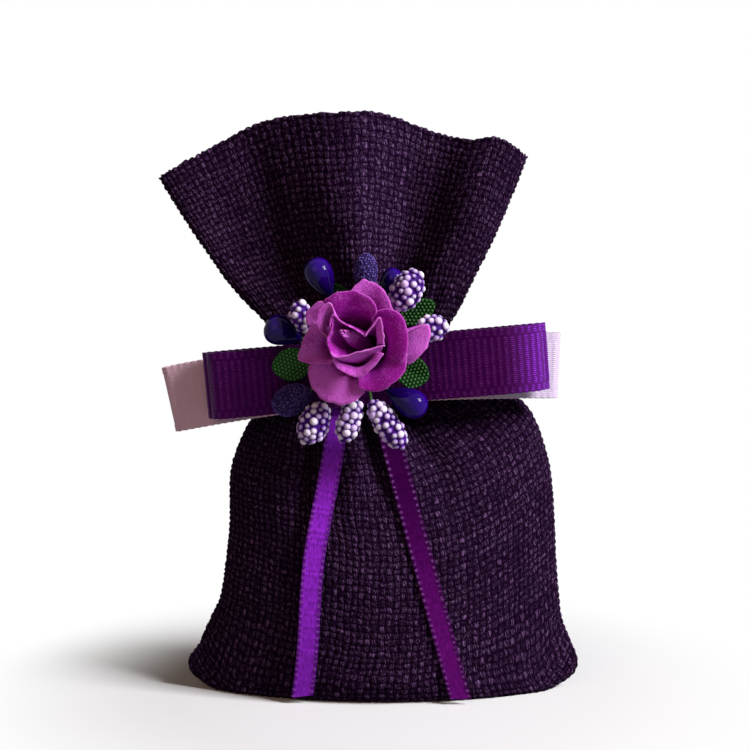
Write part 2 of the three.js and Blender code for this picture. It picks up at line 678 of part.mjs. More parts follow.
// Leans a point of the rose over with its height.
function leaned(x, y, height) {
  const share = height / HEART_HEIGHT;
  return new THREE.Vector3(x + ROSE_LEAN[0] * share, y + ROSE_LEAN[1] * share, height);
}

// The tight roll at the rose's heart.
function roseHeart(paper) {
  const levels = [[0.55, 0], [0.8, 0.2], [1, 0.5], [0.9, 0.75], [0.55, 0.95], [0.25, 1]];
  const sides = 12;
  const rings = levels.map(([wide, high]) => evenSteps(sides).slice(1).map((share) => {
    const angle = share * 2 * Math.PI;
    const radius = wide * HEART_RADIUS * (1 + 0.12 * Math.cos(angle - 4 * high));
    return leaned(radius * Math.cos(angle), radius * Math.sin(angle), high * HEART_HEIGHT);
  }));
  return piece('rose_heart', ringsGeometry(rings), paper);
}

// One petal. Its outline widens from a narrow foot and rounds off at the lip. Across its width it
// slides from inside one neighbour to outside the other, so that the petals of a whorl overlap.
function rosePetal(whorl, index, paper) {
  const [foot, low, high, lip] = whorl.curve.map(([x, y]) => new THREE.Vector2(x, y));
  const profile = new THREE.CubicBezierCurve(foot, low, high, lip);
  const spacing = 360 / whorl.count;
  const overlap = PAPER + PETAL_GAP; // step from one petal to the next
  const narrow = 0.42; // width of the foot, as a share of the petal's width
  const lift = (overlap * narrow * whorl.halfAngle) / spacing + PAPER; // keeps the foot off the disc
  const surface = (u, v) => {
    const swell = lerp(narrow, 1, smoothstep(v, 0, 0.5));
    const rounded = Math.sqrt(1 - (Math.max(0, v - 0.58) / 0.44) ** 2);
    const turn = u * whorl.halfAngle * swell * rounded;
    const at = profile.getPoint(v);
    const along = profile.getTangent(v);
    const slide = (overlap * turn) / spacing;
    const radius = at.x + slide * along.y;
    const height = at.y - slide * along.x + lift;
    const angle = degToRad(whorl.start + index * spacing + turn);
    return leaned(radius * Math.cos(angle), radius * Math.sin(angle), height);
  };
  const geometry = sheetGeometry(surface, PETAL_COLUMNS, evenSteps(PETAL_ROWS), PAPER);
  return piece(`rose_${whorl.name}_petal_${index + 1}`, geometry, paper);
}

// How wide each kind of bud is along its length, as shares of its width and length.
const BUD_SHAPES = {
  pip: { sides: 12, rings: 7, wide: (v) => (1 - (2 * v ** 1.7 - 1) ** 2) ** 0.5 },
  beaded: { sides: 16, rings: 10, wide: (v) => (1 - Math.abs(2 * v - 1) ** 2.6) ** 0.5 },
  frosted: { sides: 14, rings: 8, wide: (v) => (1 - Math.abs(2 * v - 1) ** 2.2) ** 0.5 },
};
const BEAD_SHARE = 0.14; // how far the beads stand out, as a share of the bud's radius

// A bud from its root to its tip. A beaded one has beads in rows that are set half a bead apart.
function budGeometry({ kind, width }, length) {
  const { sides, rings, wide } = BUD_SHAPES[kind];
  const beads = 8;
  const rows = evenSteps(rings + 1).slice(1, -1);
  return ringsGeometry(rows.map((v, i) => evenSteps(sides).slice(1).map((share) => {
    const angle = share * 2 * Math.PI;
    const bump = kind === 'beaded' ? Math.cos(beads * angle + Math.PI * Math.floor(i / 2)) : 1;
    const radius = (width / 2) * wide(v) * (1 - BEAD_SHARE * 0.5 * (1 - bump));
    return new THREE.Vector3(radius * Math.cos(angle), v * length, radius * Math.sin(angle));
  })));
}

// A bud and its wire, which comes out of the side of the binding.
function budAndWire(bud, finishes) {
  const root = new THREE.Vector3(...bud.root, bud.level);
  const tip = new THREE.Vector3(...bud.tip, bud.level);
  const along = tip.clone().sub(root);
  const length = along.length();
  along.normalize();
  const head = piece(bud.name, budGeometry(bud, length), finishes[bud.kind]);
  head.position.copy(root);
  head.quaternion.setFromUnitVectors(new THREE.Vector3(0, 1, 0), along);

  const outward = new THREE.Vector3(...bud.root, 0).normalize();
  const exit = BINDING_BASE + BINDING_LENGTH * (bud.level === FRONT_LEVEL ? 0.66 : 0.36);
  const start = outward.clone().multiplyScalar(BINDING_RADIUS + CLEARANCE).setZ(exit);
  const endRing = length / (BUD_SHAPES[bud.kind].rings + 1);
  const end = root.clone().addScaledVector(along, endRing - CLEARANCE);
  const bend = start.clone().lerp(end, 0.45).setZ(lerp(exit, bud.level, 0.2));
  const wire = piece(`${bud.name}_wire`, wireGeometry([start, bend, end], WIRE_RADIUS), finishes.wire);
  return [head, wire];
}

// A leaf and its stalk: a folded blade that is bent back a little at its tip.
function leaf({ name, root, tip, width }, green) {
  const outward = new THREE.Vector3(...root, 0).normalize();
  const start = outward.clone().multiplyScalar(BINDING_RADIUS + CLEARANCE).setZ(LEAF_LEVEL);
  const neck = new THREE.Vector3(...root, LEAF_LEVEL);
  const end = new THREE.Vector3(...tip, LEAF_LEVEL);
  const curve = new THREE.CatmullRomCurve3([start, neck, end]);
  const stalk = start.distanceTo(neck) / (start.distanceTo(neck) + neck.distanceTo(end));
  const surface = (u, v) => {
    const point = curve.getPointAt(v);
    const along = curve.getTangentAt(v);
    const blade = Math.max(0, v - stalk) / (1 - stalk);
    const half = WIRE_RADIUS + (width / 2 - WIRE_RADIUS) * Math.sin(Math.PI * blade ** 0.8);
    const side = new THREE.Vector3(-along.y, along.x, 0);
    const fold = 0.18 * Math.abs(u) * half;
    return point.addScaledVector(side, u * half).setZ(LEAF_LEVEL + fold);
  };
  return piece(name, sheetGeometry(surface, LEAF_COLUMNS, evenSteps(LEAF_ROWS), LEAF_THICKNESS), green);
}

// The corsage, in a frame of its own with X to the right, Y up and Z towards the front.
function corsage(finishes) {
  const group = new THREE.Group();
  const rose = new THREE.Group();
  rose.position.set(...ROSE_SHIFT, PETAL_BASE);
  rose.add(roseHeart(finishes.rose));
  for (const whorl of WHORLS) {
    for (let i = 0; i < whorl.count; i += 1) rose.add(rosePetal(whorl, i, finishes.rose));
  }
  const base = roseBase(finishes.leaf);
  base.position.x = ROSE_SHIFT[0];
  base.position.y = ROSE_SHIFT[1];
  group.add(gluePad(finishes.glue), stemBinding(finishes.tape), roseStem(finishes.wire), base, rose);
  for (const bud of BUDS) group.add(...budAndWire(bud, finishes));
  for (const blade of LEAVES) group.add(leaf(blade, finishes.leaf));
  group.position.set(CORSAGE_MIDDLE, BOW_FRONT, CORSAGE_HEIGHT);
  group.rotation.x = Math.PI / 2;
  return group;
}

function sachet() {
  const burlap = finish(0x2e2038, 0.95);
  const group = new THREE.Group();
  const front = pouchPanel('front', burlap);
  front.updateMatrixWorld();
  const tieSatin = finish(0x5b168a, 0.4);
  group.add(
    front,
    pouchPanel('back', burlap),
    lavenderFilling(finish(0x6f5a8c, 0.9)),
    neckTie(tieSatin),
    tieKnot(front, tieSatin),
    tail('left', front, finish(0x7a1fb0, 0.35)),
    tail('right', front, finish(0x4a0d62, 0.35)),
  );
  group.add(bow('lilac_bow', {
    left: LILAC_LEFT,
    right: LILAC_RIGHT,
    tilt: LILAC_TILT,
    droop: LILAC_DROOP,
    loop: LILAC_LOOP,
    flat: LILAC_FRONT_LAYER,
    puff: 1,
  }, finish(0xc4b3cc, 0.7)));
  group.add(bow('purple_bow', {
    left: PURPLE_LEFT,
    right: PURPLE_RIGHT,
    tilt: PURPLE_TILT,
    droop: PURPLE_DROOP,
    loop: PURPLE_LOOP,
    flat: PURPLE_BACK_LAYER,
    puff: -1,
  }, finish(0x3f0a63, 0.6)));
  group.add(corsage({
    glue: finish(0xe8e2d0, 0.4),
    tape: finish(0x3d5c33, 0.8),
    wire: finish(0x4c6b40, 0.7),
    leaf: finish(0x2f5a2c, 0.7),
    rose: finish(0xa3489b, 0.85),
    pip: finish(0x240a63, 0.15),
    beaded: finish(0xcdb9dc, 0.5),
    frosted: finish(0x4b3b78, 0.7),
  }));
  return group;
}

export default sachet();
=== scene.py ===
"""A lavender sachet: a burlap pouch tied at the neck, with two ribbon bows and a paper-rose corsage.

Metres, +Z up, the front towards -Y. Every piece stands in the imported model's frame.
"""

import math

import bpy
import numpy as np
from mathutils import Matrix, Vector
from mathutils.bvhtree import BVHTree


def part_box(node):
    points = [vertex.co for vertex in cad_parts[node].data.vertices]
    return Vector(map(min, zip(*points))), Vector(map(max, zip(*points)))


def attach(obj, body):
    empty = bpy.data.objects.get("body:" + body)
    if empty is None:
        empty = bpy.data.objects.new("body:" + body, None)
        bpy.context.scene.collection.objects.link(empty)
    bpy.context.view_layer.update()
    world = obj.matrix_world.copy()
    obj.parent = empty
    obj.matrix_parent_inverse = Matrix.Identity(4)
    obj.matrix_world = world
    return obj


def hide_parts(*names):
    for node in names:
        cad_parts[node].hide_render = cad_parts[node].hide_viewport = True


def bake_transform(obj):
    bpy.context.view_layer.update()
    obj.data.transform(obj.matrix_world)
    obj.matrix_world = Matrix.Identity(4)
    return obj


bl_info = {
    "name": "Lavender Sachet",
    "version": (1, 0, 0),
    "blender": (4, 5, 0),
    "location": "View3D > Sidebar > Sachet",
    "description": "Builds the cloth, ribbons and corsage of a lavender sachet on its packed frame",
    "category": "Object",
}

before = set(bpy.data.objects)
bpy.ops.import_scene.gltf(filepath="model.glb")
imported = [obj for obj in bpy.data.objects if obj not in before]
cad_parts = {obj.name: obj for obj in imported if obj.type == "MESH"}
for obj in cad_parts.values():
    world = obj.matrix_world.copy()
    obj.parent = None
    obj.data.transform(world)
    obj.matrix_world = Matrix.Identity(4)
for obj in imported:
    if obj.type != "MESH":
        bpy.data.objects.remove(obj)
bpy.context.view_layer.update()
MM = 0.001
BODY = "sachet_body"


# Numbers


def smooth(x, low, high):
    """An even S-shaped step from 0 at low to 1 at high."""
    share = np.clip((x - low) / (high - low), 0, 1)
    return share * share * (3 - 2 * share)


def between(a, b, share):
    return a + (b - a) * share


def lattice_noise(x, y, seed):
    """Smooth noise from -1 to 1 with one knot at each whole number."""
    size = 64
    knots = np.random.default_rng(seed).uniform(-1, 1, (size, size))
    left, low = np.floor(x).astype(int), np.floor(y).astype(int)
    across, up = smooth(x - left, 0, 1), smooth(y - low, 0, 1)

    def knot(i, j):
        return knots[(left + i) % size, (low + j) % size]

    bottom = between(knot(0, 0), knot(1, 0), across)
    top = between(knot(0, 1), knot(1, 1), across)
    return between(bottom, top, up)


def unit(vectors):
    return vectors / np.linalg.norm(vectors, axis=-1, keepdims=True)


def arc_length(points):
    steps = np.linalg.norm(np.diff(points, axis=0), axis=1)
    return np.concatenate([[0], np.cumsum(steps)])


def even_points(points, count):
    """The same polyline with evenly spaced points."""
    length = arc_length(points)
    at = np.linspace(0, length[-1], count)
    return np.column_stack([np.interp(at, length, column) for column in points.T])


def spline(points, count):
    """Evenly spaced points on a centripetal Catmull-Rom curve."""
    points = np.asarray(points, float)
    ends = np.vstack([2 * points[0] - points[1], points, 2 * points[-1] - points[-2]])
    dense = []
    for four in zip(ends, ends[1:], ends[2:], ends[3:]):
        gaps = [np.linalg.norm(b - a) ** 0.5 for a, b in zip(four, four[1:])]
        k0, k1, k2, k3 = np.cumsum([0, *gaps])
        t = np.linspace(k1, k2, 40)[:, None]

        def blend(a, b, low, high):
            return ((high - t) * a + (t - low) * b) / (high - low)

        first = blend(four[0], four[1], k0, k1)
        second = blend(four[1], four[2], k1, k2)
        third = blend(four[2], four[3], k2, k3)
        dense.append(blend(blend(first, second, k0, k2), blend(second, third, k1, k3), k1, k2))
    return even_points(np.vstack(dense), count)


def bezier(points, t):
    """Points of a cubic curve at each t."""
    p0, p1, p2, p3 = (np.asarray(p, float) for p in points)
    t = np.asarray(t)[..., None]
    rest = 1 - t
    return rest**3 * p0 + 3 * rest**2 * t * p1 + 3 * rest * t**2 * p2 + t**3 * p3


def normals_of(grid):
    """Unit normals of a grid of points, rows by columns by three."""
    down = np.gradient(grid, axis=0)
    across = np.gradient(grid, axis=1)
    normal = np.cross(across, down)
    return normal / np.maximum(np.linalg.norm(normal, axis=2, keepdims=True), 1e-12)


# Meshes


def grid_faces(rows, columns, wrap=False, loop=False, start=0):
    """Quads between neighbouring rows of a grid of point numbers.

    wrap joins the last column to the first one, and loop the last row to the first one.
    """
    numbers = start + np.arange(rows * columns).reshape(rows, columns)
    if loop:
        numbers = np.vstack([numbers, numbers[:1]])
    if wrap:
        numbers = np.hstack([numbers, numbers[:, :1]])
    corners = numbers[:-1, :-1], numbers[:-1, 1:], numbers[1:, 1:], numbers[1:, :-1]
    return np.stack(corners, axis=-1).reshape(-1, 4)


def capped_faces(rows, columns):
    """Faces of a form made of rings, with a flat cap at each end."""
    last = (rows - 1) * columns
    faces = grid_faces(rows, columns, wrap=True).tolist()
    faces.append(list(range(columns))[::-1])
    faces.append([last + k for k in range(columns)])
    return faces


def new_piece(name, points, faces, uv=None, attributes=None):
    """An object from points, faces, a place on the flat material for each point, and named values."""
    mesh = bpy.data.meshes.new(name)
    mesh.from_pydata(np.asarray(points).reshape(-1, 3).tolist(), [], [list(f) for f in faces])
    mesh.update()
    if uv is not None:
        corner = np.empty(len(mesh.loops), dtype=np.int32)
        mesh.loops.foreach_get("vertex_index", corner)
        layer = mesh.uv_layers.new(name="flat")
        layer.data.foreach_set("uv", np.asarray(uv).reshape(-1, 2)[corner].astype(np.float32).ravel())
    for label, values in (attributes or {}).items():
        layer = mesh.attributes.new(label, "FLOAT", "POINT")
        layer.data.foreach_set("value", np.asarray(values, np.float32).ravel())
    mesh.shade_smooth()
    piece = bpy.data.objects.new(name, mesh)
    bpy.context.scene.collection.objects.link(piece)
    return piece


def adopt(piece, look, node, body=BODY):
    """Gives a piece its material, the node that it stands for, and the body that carries it.

    Without a look it keeps the materials that it has.
    """
    if look is not None:
        piece.data.materials.clear()
        piece.data.materials.append(look)
    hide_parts(node)
    if body:
        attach(piece, body)


# Shaders

# Plain finishes: dark and light tone, specks for each metre, and roughness
FINISHES = {
    "dried_lavender": ((0.3, 0.24, 0.42), (0.55, 0.46, 0.66), 900.0, 0.8),
    "frosted_core": ((0.09, 0.05, 0.2), (0.2, 0.14, 0.36), 900.0, 0.7),
    "stem_wire": ((0.16, 0.28, 0.14), (0.34, 0.46, 0.28), 700.0, 0.7),
    "floral_tape": ((0.14, 0.26, 0.12), (0.3, 0.42, 0.24), 420.0, 0.7),
    "hot_glue": ((0.82, 0.8, 0.72), (0.94, 0.92, 0.86), 160.0, 0.25),
    "rose_disc": ((0.3, 0.02, 0.28), (0.46, 0.06, 0.44), 600.0, 0.8),
}
# Painted shade round the feet of the beads and of the frosting's grains, where they crowd together, and the
# shade in the beads' core
BEAD_FOOT_SHADE = (0.3, 0.06, 0.52)
FROST_FOOT_SHADE = (0.24, 0.16, 0.46)
CORE_SHADE = (0.14, 0.05, 0.28)


def linear(colour):
    """A screen colour as light, with alpha."""
    value = np.asarray(colour[:3], float)
    light = np.where(value <= 0.04045, value / 12.92, ((value + 0.055) / 1.055) ** 2.4)
    return (*light.tolist(), 1.0)


class Value:
    """An output of a shader's node tree that takes part in sums."""

    def __init__(self, tree, socket):
        self.tree = tree
        self.socket = socket

    def node(self, kind, inputs, output=0, **settings):
        """Any other node, with its inputs by place or name."""
        made = self.tree.nodes.new(kind)
        for key, value in settings.items():
            setattr(made, key, value)
        for key, value in inputs.items():
            if isinstance(value, Value):
                self.tree.links.new(value.socket, made.inputs[key])
            else:
                made.inputs[key].default_value = value
        return Value(self.tree, made.outputs[output])

    def math(self, operation, *others):
        values = dict(enumerate((self, *others)))
        return self.node("ShaderNodeMath", values, operation=operation)

    def __add__(self, other):
        return self.math("ADD", other)

    def __sub__(self, other):
        return self.math("SUBTRACT", other)

    def __mul__(self, other):
        return self.math("MULTIPLY", other)

    def __truediv__(self, other):
        return self.math("DIVIDE", other)

    def __pow__(self, other):
        return self.math("POWER", other)

    def __rsub__(self, other):
        return self * -1.0 + other

    __radd__ = __add__
    __rmul__ = __mul__

    def step(self, low, high):
        """An S-shaped step from 0 at low to 1 at high."""
        inputs = {0: self, 1: low, 2: high}
        return self.node("ShaderNodeMapRange", inputs, interpolation_type="SMOOTHSTEP")

    def wave(self, turns):
        """A wave from 0 to 1, with that many turns for each unit."""
        return (self * (turns * 2 * math.pi)).math("SINE") * 0.5 + 0.5


class Look:
    """A material on one Principled shader."""

    def __init__(self, name, **constants):
        self.material = bpy.data.materials.new(name)
        self.material.use_nodes = True
        self.tree = self.material.node_tree
        self.shader = self.tree.nodes["Principled BSDF"]
        self.any = Value(self.tree, None)
        for key, value in constants.items():
            self.shader.inputs[key.replace("_", " ")].default_value = value

    def attribute(self, name):
        return self.any.node("ShaderNodeAttribute", {}, "Fac", attribute_name=name)

    def object_place(self):
        return self.any.node("ShaderNodeTexCoord", {}, "Object")

    def flat_place(self):
        return self.any.node("ShaderNodeUVMap", {}, uv_map="flat")

    def parts(self, vector):
        made = vector.node("ShaderNodeSeparateXYZ", {0: vector})
        outputs = made.socket.node.outputs
        return [Value(self.tree, output) for output in outputs]

    def join(self, x, y, z=0.0):
        return self.any.node("ShaderNodeCombineXYZ", {0: x, 1: y, 2: z})

    def noise(self, place, scale, detail=2.0, rough=0.5):
        inputs = {"Vector": place, "Scale": scale, "Detail": detail, "Roughness": rough}
        return self.any.node("ShaderNodeTexNoise", inputs, "Fac")

    def mix(self, share, a, b):
        def colour(value):
            return value if isinstance(value, Value) else linear(value)

        inputs = {0: share, 6: colour(a), 7: colour(b)}
        return self.any.node("ShaderNodeMix", inputs, 2, data_type="RGBA")

    def bump(self, height, distance, strength):
        inputs = {"Strength": strength, "Distance": distance, "Height": height}
        return self.any.node("ShaderNodeBump", inputs)

    def finish(self, **inputs):
        for key, value in inputs.items():
            self.tree.links.new(value.socket, self.shader.inputs[key.replace("_", " ")])
        return self.material


def burlap_look(settings):
    """Coarse spun threads: painted shade in the gaps, paler on the crowns, each thread of its own tone."""
    look = Look("burlap", Specular_IOR_Level=0.02)
    warp_at = look.attribute("warp_at")
    weft_at = look.attribute("weft_at")
    tone = look.attribute("tone")
    u, v, _ = look.parts(look.flat_place())
    warp, weft = warp_at.math("ROUND"), weft_at.math("ROUND")
    beside_warp = (warp_at - warp) * 2.0
    beside_weft = (weft_at - weft) * 2.0
    weft_on_top = ((warp + weft) * 0.5).math("FRACT") * 2.0
    crown_warp = (1.0 - beside_warp**2.0) * (1.0 - beside_weft**4.0 * 0.8)
    crown_weft = (1.0 - beside_weft**2.0) * (1.0 - beside_warp**4.0 * 0.8)
    crown = crown_warp + (crown_weft * 0.8 - crown_warp) * weft_on_top
    cell = look.any.node("ShaderNodeTexWhiteNoise", {"Vector": look.join(warp, weft)}, "Value")
    along_warp = look.noise(look.join(u * 3200.0 + v * 500.0, v * 600.0), 1.0, 2.0, 0.6)
    along_weft = look.noise(look.join(u * 2200.0, v * 1500.0), 1.0, 2.0, 0.6)
    fibre = along_warp + (along_weft - along_warp) * (weft_on_top * 0.6)
    lit = fibre.step(0.45, 0.6)
    # Painted shade: each thread darkens from its crown down into the gaps between threads
    glow = (crown.step(0.22, 0.92) * 0.88 + 0.12) * (lit * 0.92 + 0.08) * (cell * 0.2 + 0.8)
    thread = look.mix(tone, settings.thread_dark, settings.thread_light)
    base = look.mix(glow, settings.gap, thread)
    rough = 0.98 - glow * 0.12
    normal = look.bump(crown * 0.7 + lit, 0.4 * MM, 0.9)
    return look.finish(Base_Color=base, Roughness=rough, Normal=normal)


def grosgrain_look(name, colours, settings, gloss, ground_sheen):
    """Ribbed ribbon: cords across it, bound by fine threads along it, with a painted sheen that turns it
    paler and more violet towards its loop ends, where they catch the light.
    """
    dark, light, sheen_colour = colours
    look = Look(name, Specular_IOR_Level=gloss, Specular_Tint=linear(sheen_colour))
    along, across, _ = look.parts(look.flat_place())
    rib = look.attribute("rib")
    bend = look.attribute("bend")
    tick = (across / settings.tick_pitch).wave(1.0)
    cloud = look.noise(look.join(along * 300.0, across * 300.0), 1.0, 2.0)
    speck = look.noise(look.join(along * 2400.0, across * 1500.0), 1.0, 3.0, 0.6)
    cord = rib.step(0.3, 0.9)
    dash = (tick.step(0.4, 0.85) * 0.9 + 0.1) * (speck.step(0.42, 0.6) * 0.8 + 0.2)
    # Painted sheen: towards the loop ends the bend mask brightens the stitches and turns the ground and the
    # rib colour paler and more violet, as if the curve caught the light
    amount = cord * dash * (bend * 0.45 + 0.35) + cloud.step(0.4, 0.8) * 0.04 + bend * 0.1
    ground = look.mix(bend * ground_sheen, dark, light)
    base = look.mix(amount, ground, look.mix(bend, light, sheen_colour))
    rough = 0.5 - cord * 0.1
    normal = look.bump(tick * rib + speck * 0.6, 0.12 * MM, 0.8)
    return look.finish(Base_Color=base, Roughness=rough, Normal=normal)


def satin_look(name, dark, light, thread):
    """Satin: a smooth middle with fine threads along it, whose streaks carry painted glints, a painted
    sheen that varies along the ribbon, and open edges with a row of stitches.
    """
    look = Look(name, Specular_IOR_Level=0.35, Specular_Tint=linear(light))
    along, across, _ = look.parts(look.flat_place())
    edge = look.attribute("edge")
    picot = look.attribute("picot")
    sheen = look.attribute("sheen")
    streak = look.noise(look.join(along * 500.0, across * 4200.0), 1.0, 3.0, 0.7)
    speck = look.noise(look.join(along * 2400.0, across * 2400.0), 1.0, 2.0, 0.6)
    # Painted glints along the threads' streaks, scaled by the painted sheen
    glint = (streak.step(0.3, 0.75) * 0.7 + 0.3) * sheen
    middle = look.mix(glint * (1.0 - edge * 0.75), dark, light)
    base = look.mix(picot * speck.step(0.35, 0.6) * 0.8, middle, thread)
    rough = 0.36 + edge * 0.2 + streak * 0.12
    normal = look.bump(streak * 0.5 + picot * edge, 0.1 * MM, 0.6)
    return look.finish(Base_Color=base, Roughness=rough, Normal=normal)


def paper_look(settings):
    """Soft mulberry paper: fibres, colour that deepens towards the heart (partly the paper's dye, partly
    painted shade inside the rose), and lips paled by wear.
    """
    look = Look(
        "rose_paper",
        Specular_IOR_Level=0.06,
        Subsurface_Weight=0.25,
        Subsurface_Radius=(1.0, 0.4, 0.8),
        Subsurface_Scale=1.5 * MM,
    )
    place = look.object_place()
    lip = look.attribute("lip")
    depth = look.attribute("depth")
    fibre = look.noise(place, 3000.0, 2.0, 0.7)
    cloud = look.noise(place, 300.0, 3.0, 0.6)
    # Colour deepens towards each petal's foot: partly the paper's dye, partly painted shade inside the rose
    dye_and_shade = depth * 1.1 + (fibre - 0.5) * 2.4 + (cloud - 0.5) * 1.6
    flesh = look.mix(dye_and_shade.step(0.0, 1.0), settings.rose_light, settings.rose_deep)
    mottled = look.mix(cloud.step(0.5, 0.75) * 0.3, flesh, settings.rose_shade)
    base = look.mix(lip.step(0.5, 1.0) * fibre.step(0.3, 0.8) * 0.6, mottled, settings.rose_lip)
    rough = 0.78 + fibre * 0.2
    normal = look.bump(fibre + cloud * 0.6, 0.2 * MM, 0.9)
    return look.finish(Base_Color=base, Roughness=rough, Normal=normal)


def lacquer_look(settings):
    """Dark dye under clear lacquer."""
    look = Look("pip_lacquer", Coat_Weight=0.2, Coat_Roughness=0.05, Specular_IOR_Level=0.0)
    place = look.object_place()
    cloud = look.noise(place, 180.0, 2.0)
    along = look.attribute("along")
    base = look.mix(along * 0.7 + (cloud - 0.5) * 0.6, settings.pip_dark, settings.pip_light)
    rough = 0.3 + cloud * 0.1
    normal = look.bump(cloud, 0.4 * MM, 0.12)
    return look.finish(Base_Color=base, Roughness=rough, Normal=normal)


def grain_look(name, dye, low, high, rough, grain):
    """A crust of separate grains, each of its own tone, with painted shade round their feet."""
    look = Look(name, Specular_IOR_Level=0.08)
    place = look.object_place()
    tone = look.attribute("tone")
    out = look.attribute("out")
    speck = look.noise(place, grain, 2.0, 0.6)
    pale = look.mix(tone * 0.75 + speck * 0.25, low, high)
    # Painted shade: each grain takes the shade colour towards its foot, where it meets the body and its
    # neighbours
    base = look.mix(out.step(0.25, 0.85), dye, pale)
    normal = look.bump(speck, 0.1 * MM, 0.4)
    return look.finish(Base_Color=base, Roughness=speck * 0.25 + rough, Normal=normal)


def speckled_look(name, dark, light, scale, rough, relief=0.2 * MM, **constants):
    """A dull surface with specks of two colours."""
    look = Look(name, **{"Specular_IOR_Level": 0.1, **constants})
    place = look.object_place()
    speck = look.noise(place, scale, 4.0, 0.65)
    cloud = look.noise(place, scale * 0.12, 2.0)
    base = look.mix(speck.step(0.35, 0.7) * 0.7 + cloud * 0.3, dark, light)
    normal = look.bump(speck, relief, 0.6)
    return look.finish(Base_Color=base, Roughness=speck * 0.2 + rough, Normal=normal)


def leaf_look(settings):
    """A dimpled green leaf: pale knobs on a dark ground, darker towards the stalk."""
    look = Look("leaf_paper", Specular_IOR_Level=0.12)
    knob = look.attribute("knob")
    along = look.attribute("along")
    speck = look.noise(look.object_place(), 1500.0, 2.0)
    ground = look.mix(along, settings.leaf_deep, settings.leaf_dark)
    base = look.mix(knob.step(0.25, 0.8) * (0.5 + speck * 0.7), ground, settings.leaf_light)
    rough = 0.75 - knob * 0.25
    normal = look.bump(speck, 0.1 * MM, 0.4)
    return look.finish(Base_Color=base, Roughness=rough, Normal=normal)


# Settings


def number(name, default, description, **kind):
    return bpy.props.FloatProperty(name=name, description=description, default=default, **kind)


def length(name, default, description):
    return number(name, default, description, unit="LENGTH", precision=5)


def threads(name, default, description, least=8):
    return bpy.props.IntProperty(name=name, description=description, default=default, min=least)


def colour(name, default, description):
    return bpy.props.FloatVectorProperty(
        name=name,
        description=description,
        default=[part / 255 for part in default],
        subtype="COLOR_GAMMA",
        size=3,
        min=0,
        max=1,
    )


class PouchSettings(bpy.types.PropertyGroup):
    """Sizes and colours of the pouch."""

    cloth: length("Cloth", 1.0 * MM, "Thickness of the burlap")
    neck_height: length("Neck height", 79 * MM, "Foot of the neck, above the floor")
    neck_length: length("Neck length", 6 * MM, "Length of the gathered neck")
    neck_width: length("Neck width", 29.5 * MM, "Width of the neck inside")
    neck_depth: length("Neck depth", 11 * MM, "Depth of the neck inside")
    neck_offset: length("Neck offset", -6.75 * MM, "How far the neck leans to the right")
    front_bulge: length("Front bulge", 18 * MM, "Front belly, from the seam plane")
    back_bulge: length("Back bulge", 15 * MM, "Back belly, from the seam plane")
    base_depth: length("Base depth", 26 * MM, "Flat base, front to back")
    base_seam: length("Base seam", 5 * MM, "How far behind the middle the base's seam lies")
    pleat_depth: length("Pleat depth", 1.6 * MM, "Gathers below the neck")
    crease_depth: length("Crease depth", 3.2 * MM, "Two creases of the front, below the bows")
    mouth_radius: length("Mouth radius", 66 * MM, "From the neck to the mouth's corners")
    mouth_gape: length("Mouth gape", 7 * MM, "Opening between the panels at the rim")
    mouth_lean: length("Mouth lean", 5 * MM, "How far the rim leans back")
    fold_depth: length("Fold depth", 8.5 * MM, "Folds of the mouth, middle to crest")
    rim_dip: length("Rim dip", 3.6 * MM, "The rim's middle is nearer the neck than its corners")
    rim_wave: length("Rim wave", 1.6 * MM, "How far the rim sinks over the right-hand fold")
    left_bow: length("Left bow", 2.2 * MM, "How far the mouth's left side bows out")
    right_bow: length("Right bow", 2.8 * MM, "How far the mouth's right side bows out")
    mouth_shift: length("Mouth shift", 1.4 * MM, "How far the mouth leans right just above the neck")
    gather_depth: length("Gather depth", 1.5 * MM, "Small pleats drawn in by the tie")
    thread_swing: length("Thread swing", 0.22 * MM, "How far a thread rises and dips in the weave")
    thread_height: length("Thread height", 0.42 * MM, "Half the height of a thread")
    swell: length("Swell", 0.9 * MM, "The most that the simulation may move the cloth")
    warp_count: threads("Warp threads", 58, "Threads across a panel")
    flare_wefts: threads("Mouth wefts", 36, "Threads from the rim to the neck")
    neck_wefts: threads("Neck wefts", 4, "Threads in the neck", least=2)
    body_wefts: threads("Body wefts", 60, "Threads from the neck to the base's seam")
    gap: colour("Gap", (18, 0, 25), "Shade between the threads")
    thread_dark: colour("Dark thread", (64, 38, 73), "Darkest thread")
    thread_light: colour("Light thread", (126, 90, 138), "Palest thread")


